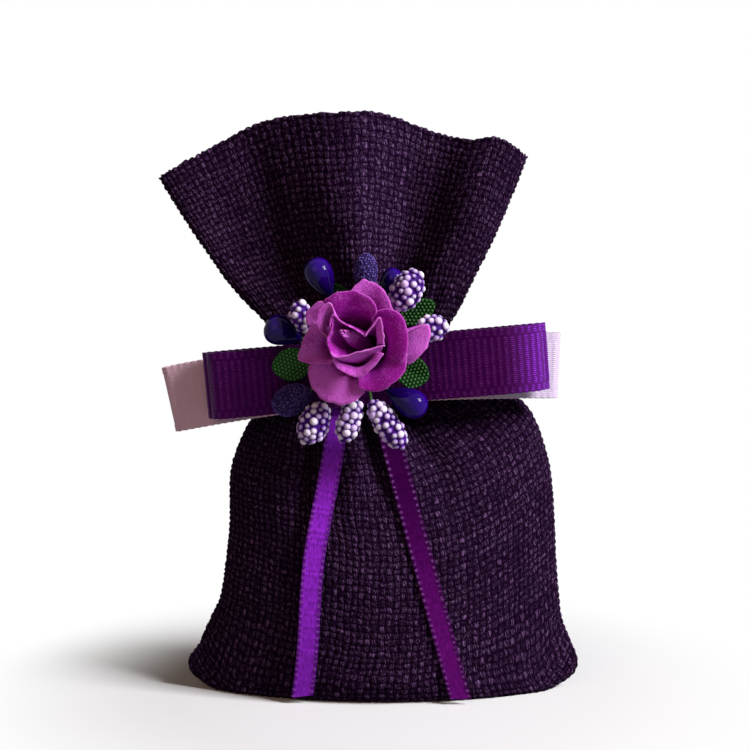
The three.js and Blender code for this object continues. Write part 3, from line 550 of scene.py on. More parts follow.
class RibbonSettings(bpy.types.PropertyGroup):
    """Sizes and colours of the bows and the tie."""

    grosgrain_width: length("Grosgrain width", 16 * MM, "Width of the bows' ribbon")
    grosgrain_thickness: length("Grosgrain thickness", 0.5 * MM, "Thickness of the bows' ribbon")
    rib_pitch: length("Rib pitch", 1.65 * MM, "Rib to rib along the ribbon")
    rib_height: length("Rib height", 0.13 * MM, "How far the ribs stand out")
    tick_pitch: length("Tick pitch", 0.5 * MM, "Binding threads across the ribbon")
    selvedge: length("Selvedge", 1.9 * MM, "Plain border along each edge of the grosgrain")
    waist: length("Waist", 12 * MM, "Length over which a bow lies flat under the corsage")
    satin_width: length("Satin width", 5.3 * MM, "Width of the tie")
    satin_thickness: length("Satin thickness", 0.4 * MM, "Thickness of the tie")
    picot_pitch: length("Picot pitch", 1.6 * MM, "Stitch to stitch along the satin's edges")
    purple_dark: colour("Purple, dark", (42, 0, 44), "Purple grosgrain between ribs")
    purple_light: colour("Purple, light", (154, 62, 154), "Purple grosgrain on its ribs")
    # Painted sheen: colour of the purple loops towards their ends, where they catch the light
    purple_sheen: colour("Purple, opened", (160, 50, 238), "Purple grosgrain where it bends")
    lilac_dark: colour("Lilac, dark", (230, 180, 194), "Lilac grosgrain between ribs")
    lilac_light: colour("Lilac, light", (192, 182, 216), "Lilac grosgrain on its ribs")
    # Painted sheen: colour of the lilac loops towards their ends, where they catch the light
    lilac_sheen: colour("Lilac, opened", (228, 222, 234), "Lilac grosgrain where it bends")
    violet_dark: colour("Violet, dark", (58, 4, 84), "Left tail in shade")
    violet_light: colour("Violet, light", (168, 50, 232), "Left tail in light")
    plum_dark: colour("Plum, dark", (36, 0, 44), "Right tail in shade")
    plum_light: colour("Plum, light", (120, 20, 134), "Right tail in light")
    stitch: colour("Stitch", (176, 104, 200), "Pale stitches at the satin's edges")


class CorsageSettings(bpy.types.PropertyGroup):
    """Sizes and colours of the corsage."""

    paper: length("Paper", 0.35 * MM, "Thickness of a petal")
    bead: length("Bead", 1.14 * MM, "Radius of the largest beads")
    bead_spacing: length("Bead spacing", 1.38 * MM, "Least distance between beads")
    grain: length("Grain", 0.3 * MM, "Radius of the frosting's grains")
    knob_pitch: length("Knob pitch", 0.95 * MM, "Knob to knob on a leaf")
    knob_height: length("Knob height", 0.32 * MM, "How far a leaf's knobs stand out")
    rose_light: colour("Rose, light", (210, 102, 212), "Petal in light")
    # Foot colour: partly the paper's dye, partly painted shade inside the rose
    rose_deep: colour("Rose, deep", (154, 21, 152), "Foot of a petal")
    rose_shade: colour("Rose, shade", (168, 50, 156), "Mottling")
    rose_lip: colour("Rose, lip", (220, 136, 200), "Worn lip of a petal")
    pip_dark: colour("Pip, dark", (10, 0, 48), "Glossy pip at its root")
    pip_light: colour("Pip, light", (48, 2, 134), "Glossy pip at its tip")
    bead_low: colour("Bead, low", (208, 172, 240), "Darkest bead")
    bead_high: colour("Bead, high", (255, 248, 255), "Palest bead")
    core: colour("Core", (84, 22, 146), "Dye between the beads")
    frost_low: colour("Frost, low", (104, 84, 164), "Darkest grain")
    frost_high: colour("Frost, high", (132, 112, 188), "Palest grain")
    leaf_deep: colour("Leaf, deep", (10, 34, 12), "Leaf near its stalk")
    leaf_dark: colour("Leaf, dark", (20, 62, 22), "Leaf between its knobs")
    leaf_light: colour("Leaf, light", (76, 132, 64), "Knobs of a leaf")


class StageSettings(bpy.types.PropertyGroup):
    """The camera's place, and the light."""

    floor: length("Floor", 3.0, "Radius of the floor")
    distance: length("Distance", 0.42, "From the camera to the object's middle")
    elevation: number("Elevation", math.radians(6), "Camera above the level", subtype="ANGLE")
    aim: bpy.props.FloatVectorProperty(
        name="Aim",
        description="Point in the middle of the picture",
        default=(-1.75 * MM, 0, 79.9 * MM),
        subtype="XYZ",
        unit="LENGTH",
    )
    lens: number("Lens", 80.64, "In millimetres")
    key: number("Key", 28.0, "Power of the main lamp", unit="POWER")
    fill: number("Fill", 1.5, "Power of the side lamp", unit="POWER")
    sky: number("Sky", 0.025, "Light from all round")


# Pouch

FACING = {"front": -1.0, "back": 1.0}
# Half the gap between the two panels at their seams
SEAM_GAP = 0.15 * MM
# The belly's line below the neck: shares of the bulge beyond the neck's depth, and of the neck's height
BELLY = [(0.17, 0.94), (0.62, 0.78), (0.93, 0.5), (1, 0.31), (0.92, 0.11)]
# The side seams below the neck, in millimetres: place across, and height
SIDE_SEAMS = {
    -1: [
        (-29.8, 71.5),
        (-34.4, 63.5),
        (-36.9, 56),
        (-37.4, 42),
        (-38.6, 31),
        (-40, 23),
        (-42.6, 17.5),
        (-45.8, 11),
        (-48.6, 7),
        (-47.6, 4),
        (-44, 1.5),
    ],
    1: [
        (20, 77.6),
        (29, 75.6),
        (35, 72),
        (37.7, 67.6),
        (39.6, 62.5),
        (41.3, 56),
        (42.4, 44),
        (42.9, 34),
        (43.8, 24),
        (44.7, 18),
        (47.5, 11.5),
        (49.2, 7),
        (48.2, 4),
        (44, 1.5),
    ],
}
# The mouth's rim from its left seam to its right one: place, and how far beyond the arc, in millimetres
MOUTH_RIM = [
    (-1, 1.6),
    (-0.85, 0.3),
    (-0.7, -0.6),
    (-0.4, 0),
    (-0.05, -0.4),
    (0.15, 0.9),
    (0.35, 0.4),
    (0.5, -0.6),
    (0.65, -0.5),
    (0.73, -0.4),
    (0.82, 2.5),
    (0.9, 2.5),
    (1, 1.0),
]
# The mouth's fan in degrees: its middle line, and how far it opens to the left and to the right
FAN_MIDDLE = 93
FAN_LEFT = 42.5
FAN_RIGHT = 41.6
# Where the rim sinks, and the middle ridge that the folds draw in to near the neck, across the mouth
RIM_LOW = 0.54
RIDGE = 0.15
# Folds of the mouth from its left seam to its right one: place, and how far forward from 1 to -1
MOUTH_FOLDS = [
    (-1, -0.05),
    (-0.84, -0.3),
    (-0.68, -0.42),
    (-0.54, -0.44),
    (-0.36, 0.0),
    (-0.18, 0.55),
    (-0.06, 0.84),
    (0.06, 0.93),
    (0.2, 0.5),
    (0.36, -0.3),
    (0.46, -0.52),
    (0.58, -0.44),
    (0.83, 0.64),
    (0.94, 0.78),
    (1, 0.72),
]
# Woven cloth: points for each thread, and threads' distance in millimetres when it lies flat
PER_THREAD = 4
THREAD_PITCH = 1.7
# How far threads wander, in threads, a weft's height for a warp's, and the weave's level in the cloth
THREAD_WANDER = 0.22
WEFT_HEIGHT = 0.85
WEAVE_LEVEL = 0.55
# Pleats that the tie draws in across a panel
GATHERS = 7.5
# The cloth simulation: its settings, its frames, and how much larger than life it runs
SWELLING = {
    "quality": 6,
    "mass": 0.25,
    "air_damping": 4,
    "tension_stiffness": 25,
    "compression_stiffness": 25,
    "shear_stiffness": 8,
    "bending_stiffness": 3,
    "use_pressure": True,
    "uniform_pressure_force": 1.2,
    "vertex_group_pressure": "push",
    "vertex_group_mass": "hold",
    "pin_stiffness": 1.0,
    "shrink_min": -0.02,
}
SWELLING_FRAMES = 22
SWELLING_SCALE = 10.0


class Pouch:
    """The inner face of the pouch's cloth, as a function of its threads.

    q runs from 0 at the left seam to 1 at the right one, and j counts wefts down from the rim.
    """

    def __init__(self, size):
        self.size = size
        self.steps = np.linspace(0, 1, 600)
        self.seams = {side: spline(self.seam_points(side), 600) for side in (-1, 1)}
        self.bellies = {
            "front": spline(self.belly_points(size.front_bulge), 600),
            "back": spline(self.belly_points(size.back_bulge), 600),
        }
        self.wefts = size.flare_wefts + size.neck_wefts + size.body_wefts
        s = np.linspace(-1, 1, 2001)
        middle = self.body("front", s, np.full_like(s, 0.5))
        run = arc_length(middle)
        self.share = run / run[-1], s

    def seam_points(self, side):
        size = self.size
        neck = (size.neck_offset + side * size.neck_width / 2, size.neck_height)
        return [neck, *((x * MM, z * MM) for x, z in SIDE_SEAMS[side])]

    def belly_points(self, bulge):
        size = self.size
        neck = size.neck_depth / 2
        return [
            (neck, size.neck_height),
            *((between(neck, bulge, deep), high * size.neck_height) for deep, high in BELLY),
            (size.base_depth / 2, size.cloth),
            (0, size.cloth),
        ]

    def along(self, line, t):
        return [np.interp(t, self.steps, column) for column in line.T]

    def body(self, face, s, t):
        size = self.size
        depth, high = self.along(self.bellies[face], t)
        left, low_left = self.along(self.seams[-1], t)
        right, low_right = self.along(self.seams[1], t)
        low = between(low_left, low_right, (s + 1) / 2)
        lifted = np.maximum(0, (np.abs(s) - 0.8) / 0.2) ** 2
        rise = between(s * s, lifted, smooth(t, 0.68, 0.86))
        fullness = 0.5 + 0.1 * smooth(t, 0, 0.3) + 0.3 * smooth(t, 0.6, 0.95)
        round_off = np.maximum(0, 1 - s * s)
        gathered = smooth(t, 0, 0.1) * (1 - smooth(t, 0.12, 0.45)) * round_off
        pleat = size.pleat_depth * gathered * np.cos(5 * np.pi * (s - 0.2))
        if face == "front":
            pleat -= self.creases(s, t) * round_off
        under = size.base_seam * smooth(t, 0.85, 1) * round_off
        y = FACING[face] * (SEAM_GAP + depth * round_off**fullness + pleat) + under
        z = np.maximum(size.cloth, between(high, low, rise))
        return np.stack([between(left, right, (s + 1) / 2), y, z], axis=-1)

    def creases(self, s, t):
        """Two creases of the front: one runs down from the neck, and one slants up to the right."""
        down = np.exp(-(((s + 0.42 + 0.25 * t) / 0.08) ** 2))
        down = down * smooth(t, 0.02, 0.1) * (1 - smooth(t, 0.2, 0.6))
        slant = np.exp(-(((t - 0.09 - 0.19 * (s - 0.24)) / 0.03) ** 2))
        slant *= smooth(s, 0.05, 0.35) * (1 - smooth(s, 0.8, 1))
        return self.size.crease_depth * (down + slant)

    def neck(self, face, s, t):
        size = self.size
        depth = np.sqrt(np.maximum(0, 1 - s * s)) * size.neck_depth / 2
        x = size.neck_offset + s * size.neck_width / 2
        z = size.neck_height + size.neck_length * (1 - t)
        return np.stack([x, FACING[face] * (SEAM_GAP + depth), z], axis=-1)

    def mouth(self, face, s, t):
        """t runs from the neck up to the rim."""
        size = self.size
        root = self.neck(face, s, np.zeros_like(s))
        angle = np.radians(FAN_MIDDLE - s * np.where(s < 0, FAN_LEFT, FAN_RIGHT))
        crests = spline(MOUTH_FOLDS, 400)
        drawn = (s - RIDGE) * np.maximum(0, 0.6 - t) * (1 - s * s)
        fold = np.interp(s + drawn, crests[:, 0], crests[:, 1])
        swell = np.cos(np.pi * (s - RIM_LOW))
        reach = size.mouth_radius - size.rim_dip * (1 - s * s) - size.rim_wave * swell
        reach = reach + np.interp(s, *np.transpose(MOUTH_RIM)) * MM
        lens = np.sqrt(np.maximum(0, 1 - s * s))
        gape = between(size.neck_depth, size.mouth_gape, smooth(t, 0, 0.6)) / 2
        depth = size.fold_depth * smooth(t, -0.05, 0.42) * (1 - 0.4 * smooth(t, 0.55, 1))
        wave = size.mouth_lean * t - depth * fold
        middle = size.neck_height + size.neck_length / 2
        x = between(root[..., 0], size.neck_offset + reach * np.cos(angle), t)
        x = x + np.where(s < 0, -size.left_bow, size.right_bow) * s * s * np.sin(np.pi * t**0.8)
        x = x + size.mouth_shift * smooth(t, 0, 0.12) * (1 - smooth(t, 0.15, 0.45))
        y = wave + FACING[face] * (SEAM_GAP + gape * lens)
        z = between(root[..., 2], middle + reach * np.sin(angle), t)
        return np.stack([x, y, z], axis=-1)

    def at(self, face, q, j):
        """Points of the cloth's inner face, with the small pleats that the tie draws in."""
        size = self.size
        s = np.interp(q, *self.share)
        top, foot = size.flare_wefts, size.flare_wefts + size.neck_wefts
        mouth = self.mouth(face, s, np.clip(1 - j / top, 0, 1))
        neck = self.neck(face, s, np.clip((j - top) / size.neck_wefts, 0, 1))
        body = self.body(face, s, np.clip((j - foot) / size.body_wefts, 0, 1))
        place = np.where((j < top)[..., None], mouth, np.where((j < foot)[..., None], neck, body))
        near = smooth(j, top - 18, top - 1) * (1 - smooth(j, foot + 1, foot + 14))
        phase = 2 * np.pi * (GATHERS * q + 0.35 * np.sin(9 * q + FACING[face]))
        valley = (0.5 - 0.5 * np.cos(phase)) ** 1.5 * np.sin(np.pi * q) ** 0.5
        place[..., 1] -= FACING[face] * size.gather_depth * near * valley
        return place

    def outward(self, face, grid):
        return FACING[face] * normals_of(grid)


def cubic_weights(at, count):
    """A row of smooth blending weights over count even knots for each place from 0 to 1."""
    x = np.asarray(at) * (count - 1)
    base = np.clip(np.floor(x).astype(int), 0, count - 2)
    f = x - base
    parts = [(1 - f) ** 3, 3 * f**3 - 6 * f**2 + 4, -3 * f**3 + 3 * f**2 + 3 * f + 1, f**3]
    weights = np.zeros((len(x), count))
    for shift, part in zip((-1, 0, 1, 2), parts):
        np.add.at(weights, (np.arange(len(x)), np.clip(base + shift, 0, count - 1)), part / 6)
    return weights


def swelled_cloth(pouch, columns=46, rows=76):
    """How far the stuffing swells and creases the cloth: a move for each point of a coarse grid.

    The two panels are sewn into one bag, larger than life. Its neck, rim and base are held,
    and the cloth is a little too large for its shape, so that it creases under pressure.
    """
    size = pouch.size
    q, j = np.meshgrid(np.linspace(0, 1, columns), np.linspace(0, pouch.wefts, rows))
    front, back = pouch.at("front", q, j), pouch.at("back", q, j)
    ring = np.concatenate([front, back[:, -2:0:-1]], axis=1)
    count = ring.shape[1]
    bag = new_piece("bag", ring * SWELLING_SCALE, grid_faces(rows, count, wrap=True))
    foot = size.flare_wefts + size.neck_wefts
    weft = j[:, 0]
    free = smooth(weft, foot, foot + 8) * (1 - smooth(weft, pouch.wefts - 14, pouch.wefts - 7))
    for name, share in (("hold", np.clip(0.97 - free, 0, 1)), ("push", free)):
        group = bag.vertex_groups.new(name=name)
        for row in range(rows):
            group.add(list(range(row * count, (row + 1) * count)), float(share[row]), "REPLACE")
    cloth = bag.modifiers.new("Cloth", "CLOTH")
    for key, value in SWELLING.items():
        setattr(cloth.settings, key, value)
    cloth.settings.effector_weights.gravity = 0
    cloth.collision_settings.use_self_collision = False
    cloth.point_cache.frame_end = SWELLING_FRAMES
    scene = bpy.context.scene
    for step in range(1, SWELLING_FRAMES + 1):
        scene.frame_set(step)
    moved = bag.evaluated_get(bpy.context.evaluated_depsgraph_get()).to_mesh()
    points = np.empty(len(moved.vertices) * 3)
    moved.vertices.foreach_get("co", points)
    shift = points.reshape(rows, count, 3) / SWELLING_SCALE - ring
    bpy.data.objects.remove(bag)
    scene.frame_set(1)
    far = np.linalg.norm(shift, axis=2, keepdims=True)
    shift *= np.minimum(1, size.swell / np.maximum(far, 1e-9))
    shift *= free[:, None, None]
    across = np.linspace(0, 1, columns)
    off_seam = smooth(np.minimum(across, 1 - across), 0, 0.14)[None, :, None]
    left, right = shift[:, :1], shift[:, columns - 1 : columns]
    behind = np.concatenate([left, shift[:, columns:][:, ::-1], right], axis=1)
    return {"front": shift[:, :columns] * off_seam, "back": behind * off_seam}


def weave(i, j, seed):
    """A plain weave at warp i and weft j, whose threads wander a little.

    Gives, for the warp and then for the weft, the thread's height from 0 to 1, how far it lies
    over the other from -1 to 1, and its tone; and last, both places in the wandering weave.
    """
    i = i + THREAD_WANDER * lattice_noise(i / 1.6, j / 1.3, seed + 4)
    j = j + THREAD_WANDER * lattice_noise(i / 1.3, j / 1.6, seed + 5)
    warp, weft = np.round(i + 1e-6), np.round(j + 1e-6)

    def crown(offset, slub):
        half = 0.46 + 0.06 * slub
        return np.sqrt(np.maximum(0, 1 - (offset / half) ** 2)) * (1 + 0.22 * slub)

    warp_thread = (
        crown(i - warp, lattice_noise(warp * 7.3, j / 5, seed)),
        np.cos(np.pi * j) * (1 - 2 * (warp % 2)),
        0.5 + 0.5 * lattice_noise(warp * 3.1, j / 9, seed + 2),
    )
    weft_thread = (
        crown(j - weft, lattice_noise(weft * 5.7, i / 5, seed + 1)),
        -np.cos(np.pi * i) * (1 - 2 * (weft % 2)),
        0.5 + 0.5 * lattice_noise(weft * 4.3, i / 9, seed + 3),
    )
    return warp_thread, weft_thread, (i, j)


def panel_faces(rows, columns, every, turned):
    """Faces of a woven grid, of its lining, and of the four edges between them.

    The lining has a point for every so many of the grid's, and turned swaps the two faces.
    """
    tall, wide = (rows - 1) // every + 1, (columns - 1) // every + 1
    start = rows * columns
    outside = np.arange(start).reshape(rows, columns)
    inside = start + np.arange(tall * wide).reshape(tall, wide)
    outer = grid_faces(rows, columns)
    inner = grid_faces(tall, wide, start=start)
    borders = [
        (outside[0], inside[0]),
        (outside[-1][::-1], inside[-1][::-1]),
        (outside[::-1, 0], inside[::-1, 0]),
        (outside[:, -1], inside[:, -1]),
    ]
    edges = []
    for out, back in borders:
        for k in range(len(back) - 1):
            edges.append([*out[k * every : (k + 1) * every + 1], back[k + 1], back[k]])
    if turned:
        return [*outer[:, ::-1], *inner, *edges]
    return [*outer, *inner[:, ::-1], *(edge[::-1] for edge in edges)]


def make_panel(pouch, face, shift, seed):
    """One panel: woven outside, with a plain lining joined to it along its four edges."""
    size = pouch.size
    columns, rows = size.warp_count * PER_THREAD + 1, pouch.wefts * PER_THREAD + 1
    across, down = np.linspace(0, 1, columns), np.linspace(0, 1, rows)
    q, j = np.meshgrid(across, down * pouch.wefts)
    i = q * size.warp_count
    plain = pouch.at(face, q, j)
    if shift is not None:
        tall, wide = shift.shape[:2]
        moves = cubic_weights(down, tall), shift, cubic_weights(across, wide)
        plain = plain + np.einsum("rk,klc,ql->rqc", *moves)

    (warp_crown, warp_over, warp_tone), (weft_crown, weft_over, weft_tone), wandered = weave(i, j, seed)
    warp = size.thread_height * warp_crown + size.thread_swing * warp_over
    weft = WEFT_HEIGHT * size.thread_height * weft_crown + size.thread_swing * weft_over
    warp = np.where(warp_crown > 0, warp, -size.thread_swing)
    weft = np.where(weft_crown > 0, weft, -size.thread_swing)
    relief = (WEAVE_LEVEL * size.cloth + np.maximum(warp, weft))[..., None]
    outer = plain + pouch.outward(face, plain) * relief

    # Cut ends of the warps stand out at the rim, and turned wefts at the two side seams
    rim = unit(plain[0] - plain[PER_THREAD])
    ends = 0.5 * MM * (warp_crown[0] + 0.4 * lattice_noise(q[0] * 60, 0 * q[0], seed) - 0.4)
    outer[0] += rim * ends[:, None]
    outer[1] += 0.6 * rim * ends[:, None]
    for side, inner_side in ((0, PER_THREAD), (-1, -1 - PER_THREAD)):
        edge = unit(plain[:, side] - plain[:, inner_side])
        outer[:, side] += edge * (0.4 * MM * (weft_crown[:, side] - 0.5))[:, None]
    outer[..., 2] = np.maximum(outer[..., 2], 0)

    every = 2 * PER_THREAD
    thin = (slice(None, None, every), slice(None, None, every))

    def both(outside, inside):
        kind = outside.shape[2:]
        return np.concatenate([outside.reshape(-1, *kind), inside.reshape(-1, *kind)])

    attributes = {
        "tone": both(np.where(warp >= weft, warp_tone, weft_tone), np.full_like(i[thin], 0.4)),
        "warp_at": both(wandered[0], i[thin]),
        "weft_at": both(wandered[1], j[thin]),
    }
    flat = np.stack([i, -j], axis=-1) * THREAD_PITCH * MM
    faces = panel_faces(rows, columns, every, face == "back")
    return new_piece(f"burlap_{face}", both(outer, plain[thin]), faces, both(flat, flat[thin]), attributes)


def make_filling(pouch):
    """The heap of dried lavender inside, held off the cloth."""
    size = pouch.size
    foot = size.flare_wefts + size.neck_wefts
    share = np.linspace(0.13, 0.87, 40)
    q, j = np.meshgrid(share, foot + size.body_wefts * np.linspace(0.14, 0.8, 34))
    sides = []
    for face in ("front", "back"):
        grid = pouch.at(face, q, j)
        lumps = lattice_noise(q * 26, j * 0.8, 41 + (face == "back"))
        inset = 2.6 * MM + 0.6 * MM * lumps
        sides.append(grid - pouch.outward(face, grid) * inset[..., None])
    ring = np.concatenate([sides[0], sides[1][:, ::-1]], axis=1)
    tall, wide = ring.shape[:2]
    points = np.concatenate([ring.reshape(-1, 3), [ring[0].mean(0)], [ring[-1].mean(0)]])
    points[:, 2] = np.maximum(points[:, 2], size.cloth + 0.4 * MM)
    faces = grid_faces(tall, wide, wrap=True).tolist()
    last = (tall - 1) * wide
    for k in range(wide):
        after = (k + 1) % wide
        faces.append([tall * wide, after, k])
        faces.append([tall * wide + 1, last + k, last + after])
    return new_piece("lavender_heap", points, faces)


# Ribbons

# Each bow: its loops' reach, its rise to the right on each side and its droop from the middle, how far
# the loops open and how round their ends are, where its flat layer lies, on which side the loops open,
# how far their ends sweep back, and where along a loop, and how strongly on each side, a painted sheen
# makes the colour paler where the loop ends catch the light
BOWS = {
    "lilac_bow": {
        "left": 47.2 * MM,
        "right": 48 * MM,
        "tilt": {1: 0.083, -1: 0.092},
        "droop": 1.25,
        "loop": 2.6 * MM,
        "fold": 1.4 * MM,
        "layer": -12.8 * MM,
        "puff": 1,
        "sweep": {1: 4 * MM, -1: 2 * MM},
        "sheen_span": (0.45, 0.8),
        "sheen_by_side": {1: 1.0, -1: 0.35},
    },
    "purple_bow": {
        "left": 37.6 * MM,
        "right": 44.6 * MM,
        "tilt": {1: 0.1, -1: 0.074},
        "droop": 0.2,
        "loop": 4.2 * MM,
        "fold": 0.9 * MM,
        "layer": -13.6 * MM,
        "puff": -1,
        "sweep": {1: 0.9 * MM, -1: -1 * MM},
        "sheen_span": (0.72, 0.95),
        "sheen_by_side": {1: 1.0, -1: 0.15},
    },
}
# From one layer of a loop to the other where the corsage holds them
LAYER_STEP = 0.8 * MM
POINTS_PER_RIB = 6
# Where a loop stands most open, right and left: two places from the middle, as shares of its reach
LOOP_CREST = {1: (0.95, 0.68), -1: (0.97, 0.75)}
# Each tail: its place across at the knot and at the floor, its sway between them, the slant of its
# cut end, its painted sheen (how brightly the satin is painted as catching the light) at the top and at
# the foot, and the body that carries it
TAILS = {
    "left": {
        "root": -9.15 * MM,
        "foot": -19.9 * MM,
        "sway": -1.5 * MM,
        "slant": 1.4 * MM,
        "sheen": (1.0, 0.8),
        "body": "left_ribbon",
    },
    "right": {
        "root": -2.35 * MM,
        "foot": 19.6 * MM,
        "sway": 0.0,
        "slant": -1.4 * MM,
        "sheen": (0.15, 1.0),
        "body": "right_ribbon",
    },
}
POINTS_PER_PICOT = 8
# The knot's middle, and half its size
KNOT_MIDDLE = np.array([-5.75, -9.75, 82]) * MM
KNOT_HALF = np.array([5, 1.7, 4]) * MM


def ribbon(name, path, across, place, lift, thickness, attributes, closed=False, slant=None):
    """A ribbon along a path, its width along across.

    place and lift hold, for each point of the path and each column, how far the column is from
    the middle and how far both faces stand out there. slant moves points along the path.
    """
    if closed:
        along = unit(np.roll(path, -1, axis=0) - np.roll(path, 1, axis=0))
    else:
        along = unit(np.gradient(path, axis=0))
    normal = unit(np.cross(along, across))
    middle = path[:, None] + across[:, None] * place[..., None]
    if slant is not None:
        middle = middle + along[:, None] * slant[..., None]
    rise = normal[:, None] * (thickness / 2 + lift)[..., None]
    ring = np.concatenate([middle + rise, (middle - rise)[:, ::-1]], axis=1)
    count, wide = ring.shape[:2]
    faces = grid_faces(count, wide, wrap=True, loop=closed).tolist()
    if not closed:
        last = (count - 1) * wide
        for k in range(wide // 2 - 1):
            faces.append([wide - 1 - k, wide - 2 - k, k + 1, k])
            faces.append([last + k, last + k + 1, last + wide - 2 - k, last + wide - 1 - k])
    run = arc_length(path)[:, None]

    def both(value):
        return np.concatenate([value, value[:, ::-1]], axis=1)

    flat = np.stack([np.broadcast_to(run, place.shape), place], axis=-1)
    values = {key: both(np.broadcast_to(value, place.shape)) for key, value in attributes.items()}
    return new_piece(name, ring, faces, both(flat), values)


def loop_outline(sign, reach, bow, waist):
    """One loop seen from above: out along the flat layer, round its end, and home over the open layer."""
    flat, side, fold = bow["layer"], bow["puff"], bow["fold"]
    pinched = flat + side * LAYER_STEP
    crest = pinched + side * 1.25 * bow["loop"]
    bend = reach - fold
    steps = np.linspace(0, 1, 120)
    out = np.column_stack([bend * steps, np.full_like(steps, flat)])
    angle = np.pi * (steps - 0.5)
    turn = np.column_stack([bend + fold * np.cos(angle), flat + side * fold * (1 + np.sin(angle))])
    far, near = (share * reach for share in LOOP_CREST[sign])
    start, end = (bend, flat + 2 * side * fold), (waist / 2, pinched)
    home = bezier([start, (far, crest), (near, crest), end], steps)
    line = np.vstack([out[:-1], turn[:-1], home])
    line[:, 1] += bow["sweep"][sign] * (line[:, 0] / reach) ** 4
    return line * [sign, 1]


def make_bow(name, settings, middle, height):
    """A bow folded from one closed strip of ribbed ribbon."""
    bow = BOWS[name]
    right = loop_outline(1, bow["right"], bow, settings.waist)
    left = loop_outline(-1, bow["left"], bow, settings.waist)[1:][::-1]
    line = np.vstack([right, left])
    run = arc_length(np.vstack([line, line[:1]]))[-1]
    ribs = round(run / settings.rib_pitch)
    line = even_points(np.vstack([line, line[:1]]), ribs * POINTS_PER_RIB + 1)[:-1]
    away = line[:, 0]
    rightward = smooth(away, -10 * MM, 10 * MM)
    tilt = between(bow["tilt"][-1], bow["tilt"][1], rightward)
    rise = tilt * away - bow["droop"] * away**2
    path = np.column_stack([middle + away, line[:, 1], height + rise])
    slope = tilt - 2 * bow["droop"] * away
    across = unit(np.column_stack([-slope, np.zeros_like(slope), np.ones_like(slope)]))

    border = 1 - 2 * settings.selvedge / settings.grosgrain_width
    near = 0.05
    half = np.array([0, 0.12, 0.28, 0.45, 0.62, border - near, border, border + near, 0.9, 0.97, 1.0])
    shares = np.concatenate([-half[:0:-1], half])
    turns = np.arange(len(path))[:, None] / POINTS_PER_RIB
    inside = smooth(np.abs(shares), border + near, border - near)[None]
    rib = 0.5 - 0.5 * np.cos(2 * np.pi * turns + np.pi * (1 - inside))
    groove = np.exp(-(((np.abs(shares) - border) / 0.02) ** 2))[None]
    rib = rib * (1 - 0.8 * groove)
    scallop = 0.12 * MM * (rib - 0.5) * smooth(np.abs(shares), 0.93, 1)[None]
    place = (settings.grosgrain_width / 2 * shares)[None] + np.sign(shares)[None] * scallop
    lift = settings.rib_height * (rib - 0.6)
    # Painted sheen towards the loop ends: strong on the right, where the key light falls, weak on the left
    bend = smooth(np.abs(away) / np.where(away > 0, bow["right"], bow["left"]), *bow["sheen_span"])
    bend *= between(bow["sheen_by_side"][-1], bow["sheen_by_side"][1], rightward)
    piece = ribbon(
        f"{name}_ribbon",
        path,
        across,
        place,
        lift,
        settings.grosgrain_thickness - 0.1 * MM,
        {"rib": rib, "bend": bend[:, None]},
        closed=True,
    )
    return piece, run


def tail_path(side, cloth, settings, height):
    """A tail's middle line, from the knot down the front of the pouch and on down to its cut end."""
    tail = TAILS[side]
    low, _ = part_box(f"{side}_tail")
    foot = low.z + abs(tail["slant"]) / 2
    lean = (tail["root"] - tail["foot"]) / height
    z = np.linspace(height, foot, 340)
    sway = np.sin(np.pi * smooth(z, foot, height) ** 0.75) ** 2
    x = tail["foot"] + lean * z + tail["sway"] * sway
    stand = 0.15 * MM + settings.satin_thickness / 2
    y = np.empty_like(z)
    reach = KNOT_MIDDLE[1]
    # Below the belly the ribbon falls back to the cloth at no more than this slope
    give = 0.16 * (z[0] - z[1])
    for k, (across, up) in enumerate(zip(x, z)):
        reach += give
        for edge in np.linspace(-0.5, 0.5, 7) * settings.satin_width:
            before = Vector((across + edge, -0.2, up - lean * edge))
            hit = cloth.ray_cast(before, Vector((0, 1, 0)))[0]
            if hit is not None:
                reach = min(reach, hit.y - stand)
        y[k] = reach
    soft = np.convolve(np.pad(y, 12, mode="edge"), np.ones(25) / 25, mode="valid")
    y = np.minimum(y, soft)
    free = smooth(z, 58 * MM, 40 * MM)
    ripple = 0.5 - 0.5 * np.cos((60 * MM - z) / (9 * MM) + tail["foot"] * 90)
    y -= 0.15 * MM * free * ripple
    return np.column_stack([x, y, z])


